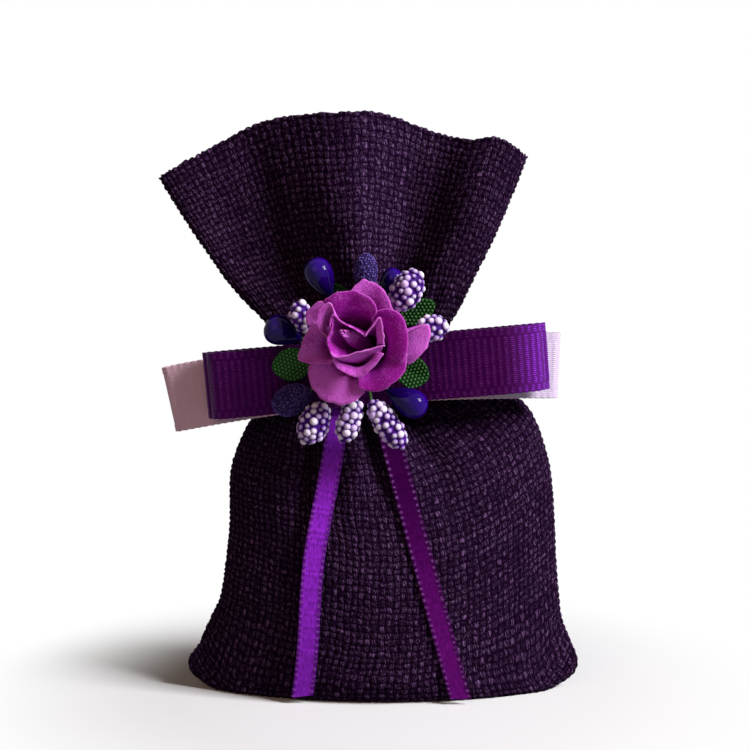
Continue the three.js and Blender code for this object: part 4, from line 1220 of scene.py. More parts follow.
def make_tail(side, cloth, settings, height):
    """One free end of the satin tie, with stitched picots along both edges and a slanted end."""
    tail = TAILS[side]
    rough = tail_path(side, cloth, settings, height)
    run = arc_length(rough)[-1]
    picots = run / settings.picot_pitch
    count = int(picots * POINTS_PER_PICOT)
    path = even_points(rough, count)
    along = np.gradient(path, axis=0)
    across = unit(np.column_stack([-along[:, 2], np.zeros(count), along[:, 0]]))
    half = np.array([0, 0.25, 0.5, 0.62, 0.7, 0.76, 0.82, 0.88, 0.94, 1.0])
    shares = np.concatenate([-half[:0:-1], half])
    right_edge = (shares > 0)[None]
    edge = smooth(np.abs(shares), 0.64, 0.8)[None] * np.ones((count, 1))
    turns = np.linspace(0, picots, count)[:, None]
    wander = turns + 0.3 * lattice_noise(turns / 2, 9 * right_edge, 61) + 0.5 * right_edge
    stitch = (0.5 - 0.5 * np.cos(2 * np.pi * wander)) ** 3
    picot = stitch * np.exp(-(((np.abs(shares) - 0.82) / 0.1) ** 2))[None]
    reach = 0.14 * MM * stitch * smooth(np.abs(shares), 0.85, 1)[None] * np.sign(shares)[None]
    place = settings.satin_width / 2 * (shares * 0.97)[None] + reach
    lift = 0.05 * MM * edge + 0.12 * MM * picot
    # Painted sheen that changes from the tail's top to its foot
    sheen = between(*tail["sheen"], smooth(turns / turns[-1], 0.3, 0.9))
    near_end = smooth(turns, picots - 4, picots)
    slant = near_end * tail["slant"] / 2 * -shares[None]
    piece = ribbon(
        f"{side}_satin_tail",
        path,
        across,
        place,
        lift,
        settings.satin_thickness - 0.1 * MM,
        {"edge": edge, "picot": picot, "sheen": sheen},
        slant=slant,
    )
    return piece, path, run


def make_turn(size, height):
    """The tie's turn round the neck, bunched into soft creases."""
    wide, deep = size.neck_width / 2, size.neck_depth / 2 + SEAM_GAP
    offset = size.cloth + 0.7 * MM
    angle = np.linspace(0, 2 * np.pi, 240, endpoint=False)
    out = unit(np.column_stack([deep * np.cos(angle), wide * np.sin(angle)]))
    x = size.neck_offset + wide * np.cos(angle) + offset * out[:, 0]
    y = deep * np.sin(angle) + offset * out[:, 1]
    path = np.column_stack([x, y, np.full_like(angle, height)])
    across = np.tile([0.0, 0.0, 1.0], (len(angle), 1))
    shares = np.tile(np.linspace(-1, 1, 17), (len(angle), 1))
    turn = angle[:, None]
    wobble = 0.5 * np.sin(3 * turn + 0.6)
    crease = 0.5 + 0.5 * np.cos(3 * np.pi * shares + wobble + 0.4 * np.sin(11 * turn))
    edge = smooth(np.abs(shares), 0.8, 0.95)
    picot = edge * (0.5 - 0.5 * np.cos(60 * turn))
    lift = 0.16 * MM * crease - 0.05 * MM
    values = {"edge": edge, "picot": picot, "sheen": 0.6}
    return ribbon("satin_turn", path, across, 2.0 * MM * shares, lift, 0.5 * MM, values, closed=True)


def make_knot():
    """The tie's knot: a flat lump of satin, folded across."""
    low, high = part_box("tie_knot")
    turn = np.linspace(0, 2 * np.pi, 48, endpoint=False)
    across, up = np.meshgrid(turn, np.linspace(0.04, 0.96, 30) * np.pi)
    fold = 1 + 0.06 * np.cos(7 * up + 1.5 * np.sin(across)) - 0.06
    x = KNOT_MIDDLE[0] + KNOT_HALF[0] * np.sin(up) * np.cos(across) * fold
    y = KNOT_MIDDLE[1] + KNOT_HALF[1] * np.sin(up) * np.sin(across) * fold
    z = np.clip(KNOT_MIDDLE[2] + KNOT_HALF[2] * np.cos(up), low.z, high.z)
    points = np.stack([x, y, z], axis=-1)
    flat = np.stack([across * KNOT_HALF[0], up * KNOT_HALF[2]], axis=-1)
    plain = np.zeros(x.shape)
    values = {"edge": plain, "picot": plain, "sheen": plain + 0.6}
    return new_piece("satin_knot", points, capped_faces(*x.shape), flat, values)


# Corsage

# Each bud: kind, root and tip in the corsage's plane, width, and level in front of it, in millimetres
BUDS = {
    "glossy_pip_1": ("pip", (-7.1, 10.9), (-11.8, 20.2), 6.6, 8.8),
    "glossy_pip_2": ("pip", (-14.2, 0.9), (-23.1, 4.5), 7.2, 5.2),
    "glossy_pip_3": ("pip", (4.1, 11.4), (9, 17.2), 5.4, 3.0),
    "glossy_pip_4": ("pip", (5.4, -10.7), (15.2, -15.6), 6.8, 8.8),
    "beaded_bud_1": ("beaded", (8.1, 7.8), (13.1, 18), 8, 8.8),
    "beaded_bud_2": ("beaded", (12.2, 3.4), (20.8, 4.5), 6.8, 8.8),
    "beaded_bud_3": ("beaded", (-13.5, 2.4), (-15.4, 11.3), 5.4, 8.8),
    "beaded_bud_4": ("beaded", (-9, -13.4), (-13.9, -23.9), 7.8, 8.8),
    "beaded_bud_5": ("beaded", (-1.4, -12), (-4.6, -23.9), 6.4, 8.8),
    "beaded_bud_6": ("beaded", (1.7, -12.6), (10.3, -25.2), 6.6, 8.8),
    "frosted_bud_1": ("frosted", (0.8, 12.6), (1, 21.7), 5.8, 8.8),
    "frosted_bud_2": ("frosted", (-12.1, -11.4), (-21.5, -15.6), 7.6, 5.2),
}
# Each leaf: root, tip and width, in millimetres
LEAVES = {
    "leaf_1": ((-11, -3.8), (-21.5, -5.9), 8),
    "leaf_2": ((7.4, -5.2), (15.8, -8.3), 7.6),
    "leaf_3": ((8.2, 4.8), (17.1, 9.7), 6),
    "leaf_4": ((-3.4, 8), (-7.6, 14), 4.6),
}
# How far the corsage's plane lies behind the stem binding, in millimetres
PLANE_LEVEL = 1.6
# The leaves' level and thickness, and their stalks' start and half width, in millimetres
LEAF_LEVEL = 3.6
LEAF_THICKNESS = 0.5
STALK_START = 4.3
STALK_HALF = 0.3
# The rose's foot, height and lean, and the thickness of its heart's paper, in millimetres
ROSE_PLACE = (1.6, -0.6, 8.5)
ROSE_HEIGHT = 14.0
ROSE_LEAN = (-6.3, 5.0)
HEART_PAPER = 0.3
# Each petal: direction, radius and half width of its foot, how far its wall bulges, how much of it
# is bent over, how far it pales from foot to lip (partly the paper's fading, partly painted light: the
# two right-hand middle petals, which face away from the light, are kept deep as painted shade), and its
# lip anticlockwise as right, up and height
PETALS = {
    "rose_inner_petal_1": (
        (20, 3.0, 40, 1.5, 0.25, 0.9),
        [(3.6, 1.6, 11.6), (3.3, 4.8, 12.3), (2.7, 8, 13), (0.9, 6.1, 13.2), (-0.8, 3.6, 13)],
    ),
    "rose_inner_petal_2": (
        (104, 2.8, 50, 0.8, 0.1, 0.35),
        [(-0.7, 3.5, 12.5), (-4.2, 5.7, 13.3), (-6.7, 7.1, 13.6), (-8, 8.4, 13.8), (-9, 5.6, 13.2)],
    ),
    "rose_inner_petal_3": (
        (192, 2.8, 45, 0.8, 0.1, 0.3),
        [(-8, 8, 13.4), (-9, 5, 13), (-9.4, 2.7, 12.6), (-8.6, 0.1, 12.2), (-7.5, -1.1, 12)],
    ),
    "rose_inner_petal_4": (
        (276, 3.2, 50, 3.2, 0.1, 0.85),
        [
            (-8.9, -0.3, 12),
            (-7.7, -1.2, 12.4),
            (-4.5, -0.8, 12.6),
            (-0.7, 0.4, 12.4),
            (3.6, 1.6, 11.8),
        ],
    ),
    "rose_middle_petal_1": (
        (-52, 5.0, 40, 1.5, 0.45, 0.2),
        [(-2.5, -9, 7.5), (1.8, -9.6, 8), (5.6, -7.7, 8.6), (8.3, -4.6, 9), (9.2, -0.7, 9.4)],
    ),
    "rose_middle_petal_2": (
        (16, 5.0, 40, 1.5, 0.4, 0.15),
        [
            (7.8, -3.1, 9.6),
            (9, 1.3, 10.4),
            (8.6, 5.4, 10.8),
            (7, 8.9, 11),
            (4.2, 9.9, 11.2),
            (1.8, 9.3, 11.4),
        ],
    ),
    "rose_middle_petal_3": (
        (92, 4.8, 45, 1.0, 0.3, 0.25),
        [
            (1.9, 8.7, 11.8),
            (1.2, 11.1, 12),
            (-1, 13.1, 12.2),
            (-4.5, 14.1, 12.2),
            (-7.8, 13.3, 12),
            (-10.3, 11.4, 11.6),
        ],
    ),
    "rose_middle_petal_4": (
        (160, 4.8, 35, 1.0, 0.3, 0.8),
        [
            (-7.6, 8, 12.6),
            (-8.8, 11.2, 12.4),
            (-11.8, 9.1, 11.6),
            (-11.5, 5.4, 11),
            (-9.4, 3.1, 11.6),
        ],
    ),
    "rose_middle_petal_5": (
        (244, 4.8, 48, 1.5, 0.3, 0.7),
        [
            (-9.7, 2.2, 10.8),
            (-9, -0.4, 10.6),
            (-7.6, -3.4, 10.4),
            (-4.2, -5.6, 10.4),
            (-2.5, -5.9, 10.4),
            (0.5, -4.5, 10.6),
            (3.7, -0.6, 11),
        ],
    ),
    "rose_outer_petal_1": (
        (-4, 7.0, 30, 1.5, 0.45, 0.85),
        [
            (9.5, -3.6, 6),
            (12.2, -1.3, 6.4),
            (14.1, 2.5, 6.6),
            (13.7, 5.8, 6.8),
            (10.4, 4.8, 7.2),
            (8.2, 3.6, 7.6),
        ],
    ),
    "rose_outer_petal_2": (
        (70, 7.0, 40, 1.5, 0.4, 0.6),
        [
            (6, 7.6, 7.6),
            (5.4, 10.2, 7.6),
            (3.7, 13.8, 7.6),
            (0.5, 16, 7.6),
            (-1.6, 16.2, 7.8),
            (-4.2, 13.8, 8.4),
        ],
    ),
    "rose_outer_petal_3": (
        (122, 7.0, 35, 1.5, 0.4, 0.7),
        [(-7.1, 13.5, 8.8), (-10.2, 11.8, 9), (-12.7, 10.7, 9), (-14.3, 9, 8.8), (-14.1, 5.9, 8.6)],
    ),
    "rose_outer_petal_4": (
        (194, 7.0, 38, 1.5, 0.45, 0.8),
        [
            (-12.6, 6.7, 8.6),
            (-14.2, 4.5, 8.2),
            (-15.7, 1, 7.6),
            (-16.4, -2.1, 7),
            (-13.6, -3.2, 7.2),
            (-8.7, -3.1, 8),
        ],
    ),
    "rose_outer_petal_5": (
        (250, 7.0, 42, 1.5, 0.5, 0.85),
        [
            (-14.2, -3.9, 6.4),
            (-13.7, -7.2, 6.2),
            (-12.6, -9.9, 6),
            (-9.6, -12.2, 6),
            (-6.4, -13, 6),
            (-3.2, -12.1, 6.2),
            (-0.9, -10.1, 6.4),
        ],
    ),
}


class Corsage:
    """The corsage's own frame, in millimetres: right, up, and towards the front."""

    def __init__(self):
        low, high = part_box("stem_binding")
        self.x = (low.x + high.x) / 2
        self.y = high.y + PLANE_LEVEL * MM
        self.z = (low.z + high.z) / 2

    def world(self, points):
        points = np.asarray(points, float) * MM
        return np.stack(
            [self.x + points[..., 0], self.y - points[..., 2], self.z + points[..., 1]], axis=-1
        )


def thick_sheet(name, grid, thickness, attributes, lift=0.0):
    """A closed sheet round a grid of points. lift raises the face on the normal's side.

    Each attribute has its values on that face, and on the other one.
    """
    normal = normals_of(grid)
    rows, columns = grid.shape[:2]
    raised = grid + normal * (thickness / 2 + np.broadcast_to(lift, (rows, columns))[..., None])
    points = np.concatenate([raised.reshape(-1, 3), (grid - normal * (thickness / 2)).reshape(-1, 3)])
    count = rows * columns
    numbers = np.arange(count).reshape(rows, columns)
    rim = np.concatenate([numbers[0], numbers[1:, -1], numbers[-1, -2::-1], numbers[-2:0:-1, 0]])
    after = np.roll(rim, -1)
    strip = np.column_stack([after + count, rim + count, rim, after])
    front, back = grid_faces(rows, columns)[:, ::-1], grid_faces(rows, columns, start=count)
    values = {key: np.concatenate([np.ravel(side) for side in sides]) for key, sides in attributes.items()}
    return new_piece(name, points, np.concatenate([front, back, strip]), attributes=values)


def leaned(x, y, height):
    share = height / ROSE_HEIGHT
    return np.stack(
        [
            ROSE_PLACE[0] + x + ROSE_LEAN[0] * share,
            ROSE_PLACE[1] + y + ROSE_LEAN[1] * share,
            ROSE_PLACE[2] + height,
        ],
        axis=-1,
    )


def make_petal(name, corsage, settings, seed):
    """A petal: a narrow foot, a wall that bulges, and a broad lip that leans outwards."""
    (turn, foot, half, bulge, splay, fade_and_light), lip_points = PETALS[name]
    steps = np.linspace(-1, 1, 37)
    lip_line = spline(lip_points, len(steps))
    angle = np.radians(turn + half * steps)
    base = np.column_stack([foot * np.cos(angle), foot * np.sin(angle), np.full_like(steps, 0.5)])
    lean = np.outer(lip_line[:, 2] / ROSE_HEIGHT, ROSE_LEAN)
    away = lip_line[:, :2] - lean
    far = np.linalg.norm(away, axis=1, keepdims=True)
    out = np.column_stack([away / far, np.zeros(len(steps))])
    up = np.array([0, 0, 1.0])
    wall = base + out * bulge + up * 0.5 * lip_line[:, 2:]
    wall[:, :2] += lean * 0.45
    bend = lip_line - out * splay * far - up * 0.02 * lip_line[:, 2:]
    heights = np.linspace(0, 1, 29)
    grid = bezier([base, wall, bend, lip_line], heights[:, None])
    u, v = np.meshgrid(steps, heights)
    dent = 0.35 * lattice_noise(u * 1.7 + seed, v * 2.2, seed) * smooth(v, 0.2, 0.7)
    ragged = 0.25 * lattice_noise(u * 6.0, 0 * v, seed + 5) * smooth(v, 0.85, 1)
    grid = grid + normals_of(grid) * dent[..., None] + out[None] * ragged[..., None]
    grid = corsage.world(grid + ROSE_PLACE)
    lip = np.maximum(smooth(v, 0.94, 1), smooth(np.abs(u), 0.94, 1) * smooth(v, 0.3, 0.6))
    # Colour deepens towards the petal's foot: partly the paper's dye, partly painted shade inside the rose
    depth = 1 - fade_and_light * smooth(v, 0.1, 0.75)
    values = {"lip": (lip, lip), "depth": (depth, depth)}
    return thick_sheet(f"{name}_paper", grid, settings.paper, values)


def make_heart(corsage):
    """The rose's heart: a strip of paper rolled up, with its tip pinched."""
    turns = 2.4
    u, v = np.meshgrid(np.linspace(0, 1, 90), np.linspace(0, 1, 22))
    angle = 2 * np.pi * turns * u + 0.8
    wide = between(0.5, 1.0, smooth(v, 0, 0.35)) * between(1, 0.42, smooth(v, 0.55, 1))
    radius = (0.35 + 2.2 * u) * wide
    height = v * (13.6 - 1.8 * u + 0.5 * np.sin(3 * angle))
    grid = corsage.world(leaned(radius * np.cos(angle), radius * np.sin(angle), height))
    lip = smooth(v, 0.9, 1)
    # The heart's colour deepens towards its foot: partly the paper's dye, partly painted shade inside the
    # rose
    depth = 1 - smooth(v, 0.3, 1) * 0.7
    values = {"lip": (lip, lip), "depth": (depth, depth)}
    return thick_sheet("rose_heart_paper", grid, HEART_PAPER * MM, values)


# The least radius of a bud's body in millimetres, how much of a grain's radius sinks into its bud,
# the smallest grain as a share of the largest, and the most grains on a square metre
LEAST_RADIUS = 0.15
GRAIN_SUNK = 0.8
SMALLEST_GRAIN = 0.58
GRAIN_DENSITY = 4e6
# A bud's width from its root at 0 to its tip at 1, as a share of its greatest
BUD_SHAPES = {
    "pip": lambda v: (1 - (2 * v**1.7 - 1) ** 2) ** 0.5,
    "beaded": lambda v: (1 - np.abs(2 * v - 1) ** 2.6) ** 0.5,
    "frosted": lambda v: (1 - np.abs(2 * v - 1) ** 2.2) ** 0.5,
}


def make_pod(name, corsage, shrink=0.0):
    """A bud's body, a turned form from its root to its tip, smaller by shrink all round."""
    kind, root, tip, width, level = BUDS[name]
    root, tip = np.array([*root, level]), np.array([*tip, level])
    along = tip - root
    size = np.linalg.norm(along)
    side = unit(np.cross(along, [0, 0, 1]))
    front = np.cross(side, along / size)
    v = np.linspace(0.012, 0.988, 28)[:, None]
    angle = np.linspace(0, 2 * np.pi, 32, endpoint=False)[None]
    shape = BUD_SHAPES[kind](v)
    radius = np.maximum(width / 2 * shape - shrink * smooth(shape, 0, 0.6), LEAST_RADIUS)
    inset = v * (1 - 2 * shrink / size) + shrink / size
    points = root + along * inset[..., None] + side * (radius * np.cos(angle))[..., None]
    points = points + front * (radius * np.sin(angle))[..., None]
    faces = [face[::-1] for face in capped_faces(*points.shape[:2])]
    share = np.broadcast_to(v, points.shape[:2])
    return new_piece(f"{name}_head", corsage.world(points), faces, attributes={"along": share})


def crust_group():
    """Geometry nodes that set grains of many sizes all over a body.

    Each grain stores its tone, and each of its points how far out it stands, in grains' radii.
    """
    group = bpy.data.node_groups.new("Crust", "GeometryNodeTree")
    sockets = {
        "Geometry": "NodeSocketGeometry",
        "Spacing": "NodeSocketFloat",
        "Radius": "NodeSocketFloat",
        "Smallest": "NodeSocketFloat",
        "Detail": "NodeSocketInt",
        "Seed": "NodeSocketInt",
        "Grain": "NodeSocketMaterial",
        "Core": "NodeSocketMaterial",
    }
    for name, kind in sockets.items():
        group.interface.new_socket(name, in_out="INPUT", socket_type=kind)
    group.interface.new_socket("Geometry", in_out="OUTPUT", socket_type="NodeSocketGeometry")

    def node(kind, inputs=None, **settings):
        made = group.nodes.new(kind)
        for key, value in settings.items():
            setattr(made, key, value)
        for key, value in (inputs or {}).items():
            if isinstance(value, bpy.types.NodeSocket):
                group.links.new(value, made.inputs[key])
            else:
                made.inputs[key].default_value = value
        return made.outputs

    def store(geometry, name, value, domain):
        inputs = {"Geometry": geometry, "Name": name, "Value": value}
        return node("GeometryNodeStoreNamedAttribute", inputs, data_type="FLOAT", domain=domain)[0]

    given = node("NodeGroupInput")
    body, radius, seed = given["Geometry"], given["Radius"], given["Seed"]
    scatter = node(
        "GeometryNodeDistributePointsOnFaces",
        {"Mesh": body, "Distance Min": given["Spacing"], "Density Max": GRAIN_DENSITY, "Seed": seed},
        distribute_method="POISSON",
    )
    grain = node("GeometryNodeMeshIcoSphere", {"Radius": radius, "Subdivisions": given["Detail"]})
    sizes = node("FunctionNodeRandomValue", {2: given["Smallest"], 3: 1.0, "Seed": seed})
    tones = node("FunctionNodeRandomValue")
    inputs = {"Points": scatter["Points"], "Instance": grain["Mesh"], "Scale": sizes[1]}
    grains = store(node("GeometryNodeInstanceOnPoints", inputs)[0], "tone", tones[1], "INSTANCE")
    grains = node("GeometryNodeRealizeInstances", {"Geometry": grains})[0]
    away = node("GeometryNodeProximity", {0: body})["Distance"]
    share = node("ShaderNodeMath", {0: away, 1: radius}, operation="DIVIDE")[0]
    grains = store(grains, "out", share, "POINT")
    grains = node("GeometryNodeSetShadeSmooth", {"Geometry": grains})[0]
    grains = node("GeometryNodeSetMaterial", {"Geometry": grains, "Material": given["Grain"]})[0]
    core = node("GeometryNodeSetMaterial", {"Geometry": body, "Material": given["Core"]})[0]
    join = group.nodes.new("GeometryNodeJoinGeometry")
    for layer in (core, grains):
        group.links.new(layer, join.inputs["Geometry"])
    node("NodeGroupOutput", {"Geometry": join.outputs[0]})
    return group


def grow(piece, group, **values):
    """Runs a node group on a piece and keeps the outcome as its plain mesh."""
    modifier = piece.modifiers.new(group.name, "NODES")
    modifier.node_group = group
    for item in group.interface.items_tree:
        if item.in_out == "INPUT" and item.name in values:
            modifier[item.identifier] = values[item.name]
    piece.update_tag()
    bpy.context.view_layer.update()
    graph = bpy.context.evaluated_depsgraph_get()
    mesh = bpy.data.meshes.new_from_object(piece.evaluated_get(graph))
    old = piece.data
    name = old.name
    piece.modifiers.remove(modifier)
    piece.data = mesh
    bpy.data.meshes.remove(old)
    mesh.name = name


def make_leaf(name, corsage, settings):
    """A folded leaf covered with small knobs, on a thin stalk."""
    root, tip, width = LEAVES[name]
    root, tip = np.array(root, float), np.array(tip, float)
    start = root / np.linalg.norm(root) * STALK_START
    line = spline([start, root, tip], 91)
    along = unit(np.gradient(line, axis=0))
    run = arc_length(line)
    stalk = np.linalg.norm(root - start) / run[-1]
    blade = np.maximum(0, run / run[-1] - stalk) / (1 - stalk)
    half = STALK_HALF + (width / 2 - STALK_HALF) * np.sin(np.pi * blade**1.15) ** 0.7
    u = np.linspace(-1, 1, 41)
    side = np.column_stack([-along[:, 1], along[:, 0]])
    across = half[:, None] * u[None]
    flat = line[:, None] + side[:, None] * across[..., None]
    bend = 0.9 * blade[:, None] ** 2
    fold = 0.18 * np.abs(across)
    grid = np.concatenate([flat, (LEAF_LEVEL + 0.3 + fold + bend)[..., None]], axis=2)
    pitch = settings.knob_pitch / MM
    row = run[:, None] / (pitch * 0.87)
    column = across / pitch + 0.5 * (np.round(row) % 2)
    knob = np.cos(np.pi * (row - np.round(row))) * np.cos(np.pi * (column - np.round(column)))
    knob = np.clip(knob, 0, 1) ** 1.5 * smooth(blade, 0.02, 0.12)[:, None]
    share = np.broadcast_to(blade[:, None], knob.shape)
    grid = corsage.world(grid)
    facing = normals_of(grid)[len(run) // 2, len(u) // 2]
    if facing[1] > 0:
        grid, knob, share = grid[:, ::-1], knob[:, ::-1], share[:, ::-1]
    values = {"knob": (knob, knob * 0.3), "along": (share, share)}
    return thick_sheet(f"{name}_blade", grid, LEAF_THICKNESS * MM, values, settings.knob_height * knob)


# Stage

# Each lamp: place, width and height in metres, and tint
LAMPS = {
    "key": ((0.95, -0.52, 0.78), 0.42, 0.5, (0.98, 0.97, 1)),
    "fill": ((-0.4, -0.8, 0.5), 0.6, 0.6, (1, 0.64, 0.46)),
}
LAMP_AIM = Vector((0, 0, 0.07))
# The floor: rings inside its own radius, sides, where its shade fades to white, the two tones
# that are seen, and the tone that lights the object from below
FLOOR_RINGS = [0.12, 0.3, 0.6, 1.2]
FLOOR_SIDES = 64
FLOOR_FADE = (0.05, 0.11)
FLOOR_TONES = (0.95, 0.95, 0.95), (0.93, 0.93, 0.93)
FLOOR_BOUNCE = (0.55, 0.55, 0.55)


def make_lamp(name, power):
    place, wide, tall, tint = LAMPS[name]
    data = bpy.data.lights.new(name, "AREA")
    data.energy = power
    data.shape = "RECTANGLE"
    data.size = wide
    data.size_y = tall
    data.color = tint
    lamp = bpy.data.objects.new(name, data)
    lamp.location = place
    lamp.rotation_euler = (LAMP_AIM - Vector(place)).to_track_quat("-Z", "Y").to_euler()
    bpy.context.scene.collection.objects.link(lamp)


def seen_directly(tree):
    """1 for rays from the camera, and for those that mirror or pass it on."""
    path = tree.nodes.new("ShaderNodeLightPath")
    camera, glossy, through = (
        Value(tree, path.outputs[name])
        for name in ("Is Camera Ray", "Is Glossy Ray", "Is Transmission Ray")
    )
    return camera.math("MAXIMUM", glossy).math("MAXIMUM", through)


def make_floor(radius):
    """A pale floor that keeps the shadow near the object and fades to white far from it."""
    ring = np.array([*FLOOR_RINGS, radius])
    angle = np.linspace(0, 2 * np.pi, FLOOR_SIDES, endpoint=False)
    x, y = np.outer(ring, np.cos(angle)), np.outer(ring, np.sin(angle))
    points = np.stack([x, y, np.zeros_like(x)], axis=-1)
    faces = grid_faces(len(ring), FLOOR_SIDES, wrap=True).tolist()
    faces.append(list(range(FLOOR_SIDES))[::-1])
    floor = new_piece("floor", points, faces)
    look = Look("floor_paper", Roughness=0.9, Specular_IOR_Level=0.1)
    place = look.object_place()
    far = place.node("ShaderNodeVectorMath", {0: place}, 1, operation="LENGTH")
    grain = look.noise(place, 400.0, 2.0)
    tree = look.tree
    seen = seen_directly(tree)
    pale = look.mix(grain * 0.3, *FLOOR_TONES)
    look.finish(Base_Color=look.mix(seen, FLOOR_BOUNCE, pale))
    white = tree.nodes.new("ShaderNodeEmission")
    share = far.step(*FLOOR_FADE) * seen
    both = tree.nodes.new("ShaderNodeMixShader")
    tree.links.new(share.socket, both.inputs[0])
    tree.links.new(look.shader.outputs[0], both.inputs[1])
    tree.links.new(white.outputs[0], both.inputs[2])
    tree.links.new(both.outputs[0], tree.nodes["Material Output"].inputs["Surface"])
    floor.data.materials.append(look.material)


def make_world(level):
    world = bpy.data.worlds.new("studio")
    bpy.context.scene.world = world
    world.use_nodes = True
    tree = world.node_tree
    background = tree.nodes["Background"]
    background.inputs["Color"].default_value = (1, 1, 1, 1)
    strength = seen_directly(tree) * (1 - level) + level
    tree.links.new(strength.socket, background.inputs["Strength"])


# Operators


class SACHET_OT_stage(bpy.types.Operator):
    """Makes the camera, lamps, floor and background."""

    bl_idname = "sachet.stage"
    bl_label = "Stage"

    def execute(self, context):
        settings = context.scene.sachet_stage
        context.scene.view_settings.view_transform = "Standard"
        aim = Vector(settings.aim)
        back = Vector((0, -math.cos(settings.elevation), math.sin(settings.elevation)))
        data = bpy.data.cameras.new("camera")
        data.lens = settings.lens
        data.sensor_width = 36
        data.clip_start = 0.01
        camera = bpy.data.objects.new("camera", data)
        camera.location = aim + back * settings.distance
        camera.rotation_euler = (-back).to_track_quat("-Z", "Y").to_euler()
        context.scene.collection.objects.link(camera)
        context.scene.camera = camera
        make_lamp("key", settings.key)
        make_lamp("fill", settings.fill)
        make_floor(settings.floor)
        make_world(settings.sky)
        return {"FINISHED"}


class SACHET_OT_pouch(bpy.types.Operator):
    """Makes the pouch's two burlap panels and the lavender inside."""

    bl_idname = "sachet.pouch"
    bl_label = "Pouch"

    def execute(self, context):
        settings = context.scene.sachet_pouch
        pouch = Pouch(settings)
        shift = swelled_cloth(pouch)
        look = burlap_look(settings)
        for face, seed in (("front", 11), ("back", 23)):
            piece = make_panel(pouch, face, shift[face], seed)
            adopt(piece, look, f"pouch_{face}_panel")
        heap = make_filling(pouch)
        finish = FINISHES["dried_lavender"]
        lavender = speckled_look("dried_lavender", *finish, relief=0.6 * MM, Sheen_Weight=0.2)
        adopt(heap, lavender, "lavender_filling")
        return {"FINISHED"}


class SACHET_OT_ribbons(bpy.types.Operator):
    """Makes the two bows, the tie round the neck, its knot and its two tails."""

    bl_idname = "sachet.ribbons"
    bl_label = "Ribbons"

    def execute(self, context):
        settings = context.scene.sachet_ribbons
        size = context.scene.sachet_pouch
        height = size.neck_height + size.neck_length / 2
        middle = Corsage().x
        lilac = settings.lilac_dark, settings.lilac_light, settings.lilac_sheen
        purple = settings.purple_dark, settings.purple_light, settings.purple_sheen
        # After each look's colours: its gloss, and how far the painted sheen pales the ground at the loop
        # ends
        looks = {
            "lilac_bow": grosgrain_look("lilac_grosgrain", lilac, settings, 0.2, 0.75),
            "purple_bow": grosgrain_look("purple_grosgrain", purple, settings, 0.3, 0.08),
        }
        for name, look in looks.items():
            piece, run = make_bow(name, settings, middle, height)
            adopt(piece, look, name)

        violet = satin_look("violet_satin", settings.violet_dark, settings.violet_light, settings.stitch)
        plum = satin_look("plum_satin", settings.plum_dark, settings.plum_light, settings.stitch)
        front = bpy.data.objects["burlap_front"].data
        corners = [list(side.vertices) for side in front.polygons]
        cloth = BVHTree.FromPolygons([point.co for point in front.vertices], corners)
        for side, slot, look in (("left", "violet_satin", violet), ("right", "plum_satin", plum)):
            piece, path, run = make_tail(side, cloth, settings, height)
            adopt(piece, look, f"{side}_tail", body=None)
            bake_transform(piece)
        adopt(make_turn(size, height), violet, "neck_tie")
        adopt(make_knot(), violet, "tie_knot")
        return {"FINISHED"}


class SACHET_OT_rose(bpy.types.Operator):
    """Makes the paper rose."""

    bl_idname = "sachet.rose"
    bl_label = "Rose"

    def execute(self, context):
        settings = context.scene.sachet_corsage
        corsage = Corsage()
        paper = paper_look(settings)
        adopt(make_heart(corsage), paper, "rose_heart")
        for seed, name in enumerate(PETALS, start=3):
            adopt(make_petal(name, corsage, settings, seed), paper, name)
        return {"FINISHED"}


class SACHET_OT_buds(bpy.types.Operator):
    """Makes the pips, buds and leaves round the rose."""

    bl_idname = "sachet.buds"
    bl_label = "Buds"

    def execute(self, context):
        settings = context.scene.sachet_corsage
        corsage = Corsage()
        lacquer = lacquer_look(settings)
        beads, frosting = (settings.bead_low, settings.bead_high), (settings.frost_low, settings.frost_high)
        bead = grain_look("bead_crust", BEAD_FOOT_SHADE, *beads, 0.3, 900.0)
        core = speckled_look("bead_core", CORE_SHADE, settings.core, 800.0, 0.5)
        frost = grain_look("frosted_crust", FROST_FOOT_SHADE, *frosting, 0.6, 2000.0)
        under = speckled_look("frosted_core", *FINISHES["frosted_core"])
        group = crust_group()
        crusts = {
            "beaded": (settings.bead, settings.bead_spacing, 2, bead, core, "bead_crust"),
            "frosted": (settings.grain, settings.grain * 1.1, 1, frost, under, "frosted_crust"),
        }
        for seed, (name, bud) in enumerate(BUDS.items()):
            kind = bud[0]
            if kind == "pip":
                adopt(make_pod(name, corsage), lacquer, name)
                continue
            radius, spacing, detail, grain, inner, slot = crusts[kind]
            piece = make_pod(name, corsage, shrink=radius / MM * GRAIN_SUNK)
            grow(
                piece,
                group,
                Spacing=spacing,
                Radius=radius,
                Smallest=SMALLEST_GRAIN,
                Detail=detail,
                Seed=seed,
                Grain=grain,
                Core=inner,
            )
            adopt(piece, None, name)
        green = leaf_look(settings)
        for name in LEAVES:
            adopt(make_leaf(name, corsage, settings), green, name)
        return {"FINISHED"}


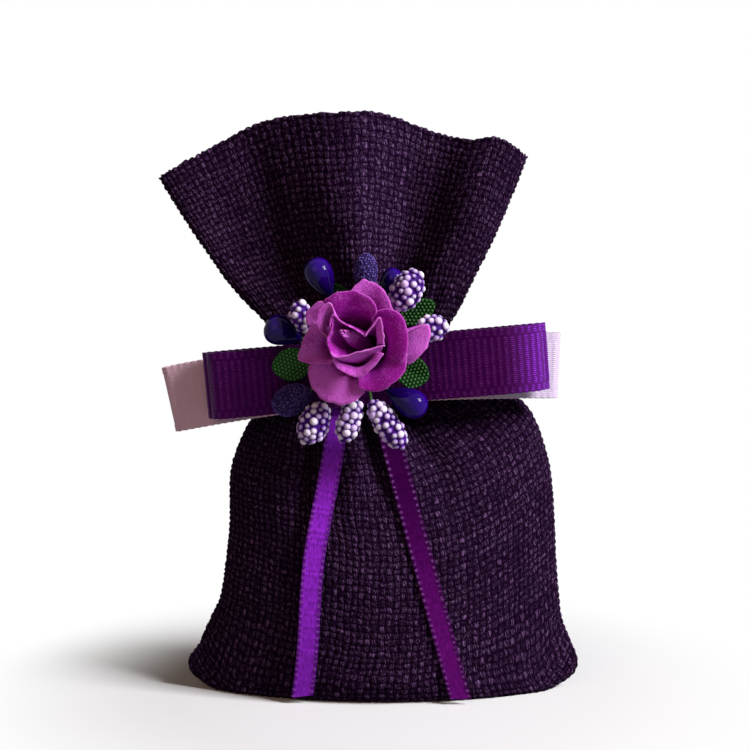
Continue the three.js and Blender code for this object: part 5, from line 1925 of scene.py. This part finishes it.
class SACHET_OT_fixings(bpy.types.Operator):
    """Finishes the wires, tape, glue and disc that hold the corsage."""

    bl_idname = "sachet.fixings"
    bl_label = "Fixings"

    def execute(self, context):
        wire = speckled_look("stem_wire", *FINISHES["stem_wire"])
        tape = speckled_look("floral_tape", *FINISHES["floral_tape"], relief=0.4 * MM)
        glue = speckled_look("hot_glue", *FINISHES["hot_glue"], Coat_Weight=0.4)
        disc = speckled_look("rose_disc", *FINISHES["rose_disc"])
        looks = {"stem_binding": tape, "rose_base": disc, "glue_pad": glue, "rose_stem": wire}
        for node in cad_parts:
            if node.endswith("_wire"):
                looks[node] = wire
        for node, look in looks.items():
            mesh = bpy.data.objects[node].data
            mesh.materials.clear()
            mesh.materials.append(look)
        return {"FINISHED"}


class SACHET_PT_panel(bpy.types.Panel):
    """The sachet's sizes, colours and build steps."""

    bl_idname = "SACHET_PT_panel"
    bl_label = "Sachet"
    bl_space_type = "VIEW_3D"
    bl_region_type = "UI"
    bl_category = "Sachet"

    def draw(self, context):
        for name, (kind, label) in SETTINGS.items():
            box = self.layout.box()
            box.label(text=label)
            for key in kind.__annotations__:
                box.prop(getattr(context.scene, name), key)
        for step in OPERATORS:
            self.layout.operator(step.bl_idname)


SETTINGS = {
    "sachet_pouch": (PouchSettings, "Pouch"),
    "sachet_ribbons": (RibbonSettings, "Ribbons"),
    "sachet_corsage": (CorsageSettings, "Corsage"),
    "sachet_stage": (StageSettings, "Stage"),
}
OPERATORS = (
    SACHET_OT_stage,
    SACHET_OT_pouch,
    SACHET_OT_ribbons,
    SACHET_OT_rose,
    SACHET_OT_buds,
    SACHET_OT_fixings,
)


def register():
    for name, (kind, _) in SETTINGS.items():
        bpy.utils.register_class(kind)
        setattr(bpy.types.Scene, name, bpy.props.PointerProperty(type=kind))
    for item in (*OPERATORS, SACHET_PT_panel):
        bpy.utils.register_class(item)


def unregister():
    for item in (SACHET_PT_panel, *reversed(OPERATORS)):
        bpy.utils.unregister_class(item)
    for name, (kind, _) in reversed(SETTINGS.items()):
        delattr(bpy.types.Scene, name)
        bpy.utils.unregister_class(kind)


def main():
    register()
    for step in OPERATORS:
        family, action = step.bl_idname.split(".")
        getattr(getattr(bpy.ops, family), action)()


if __name__ == "__main__":
    main()
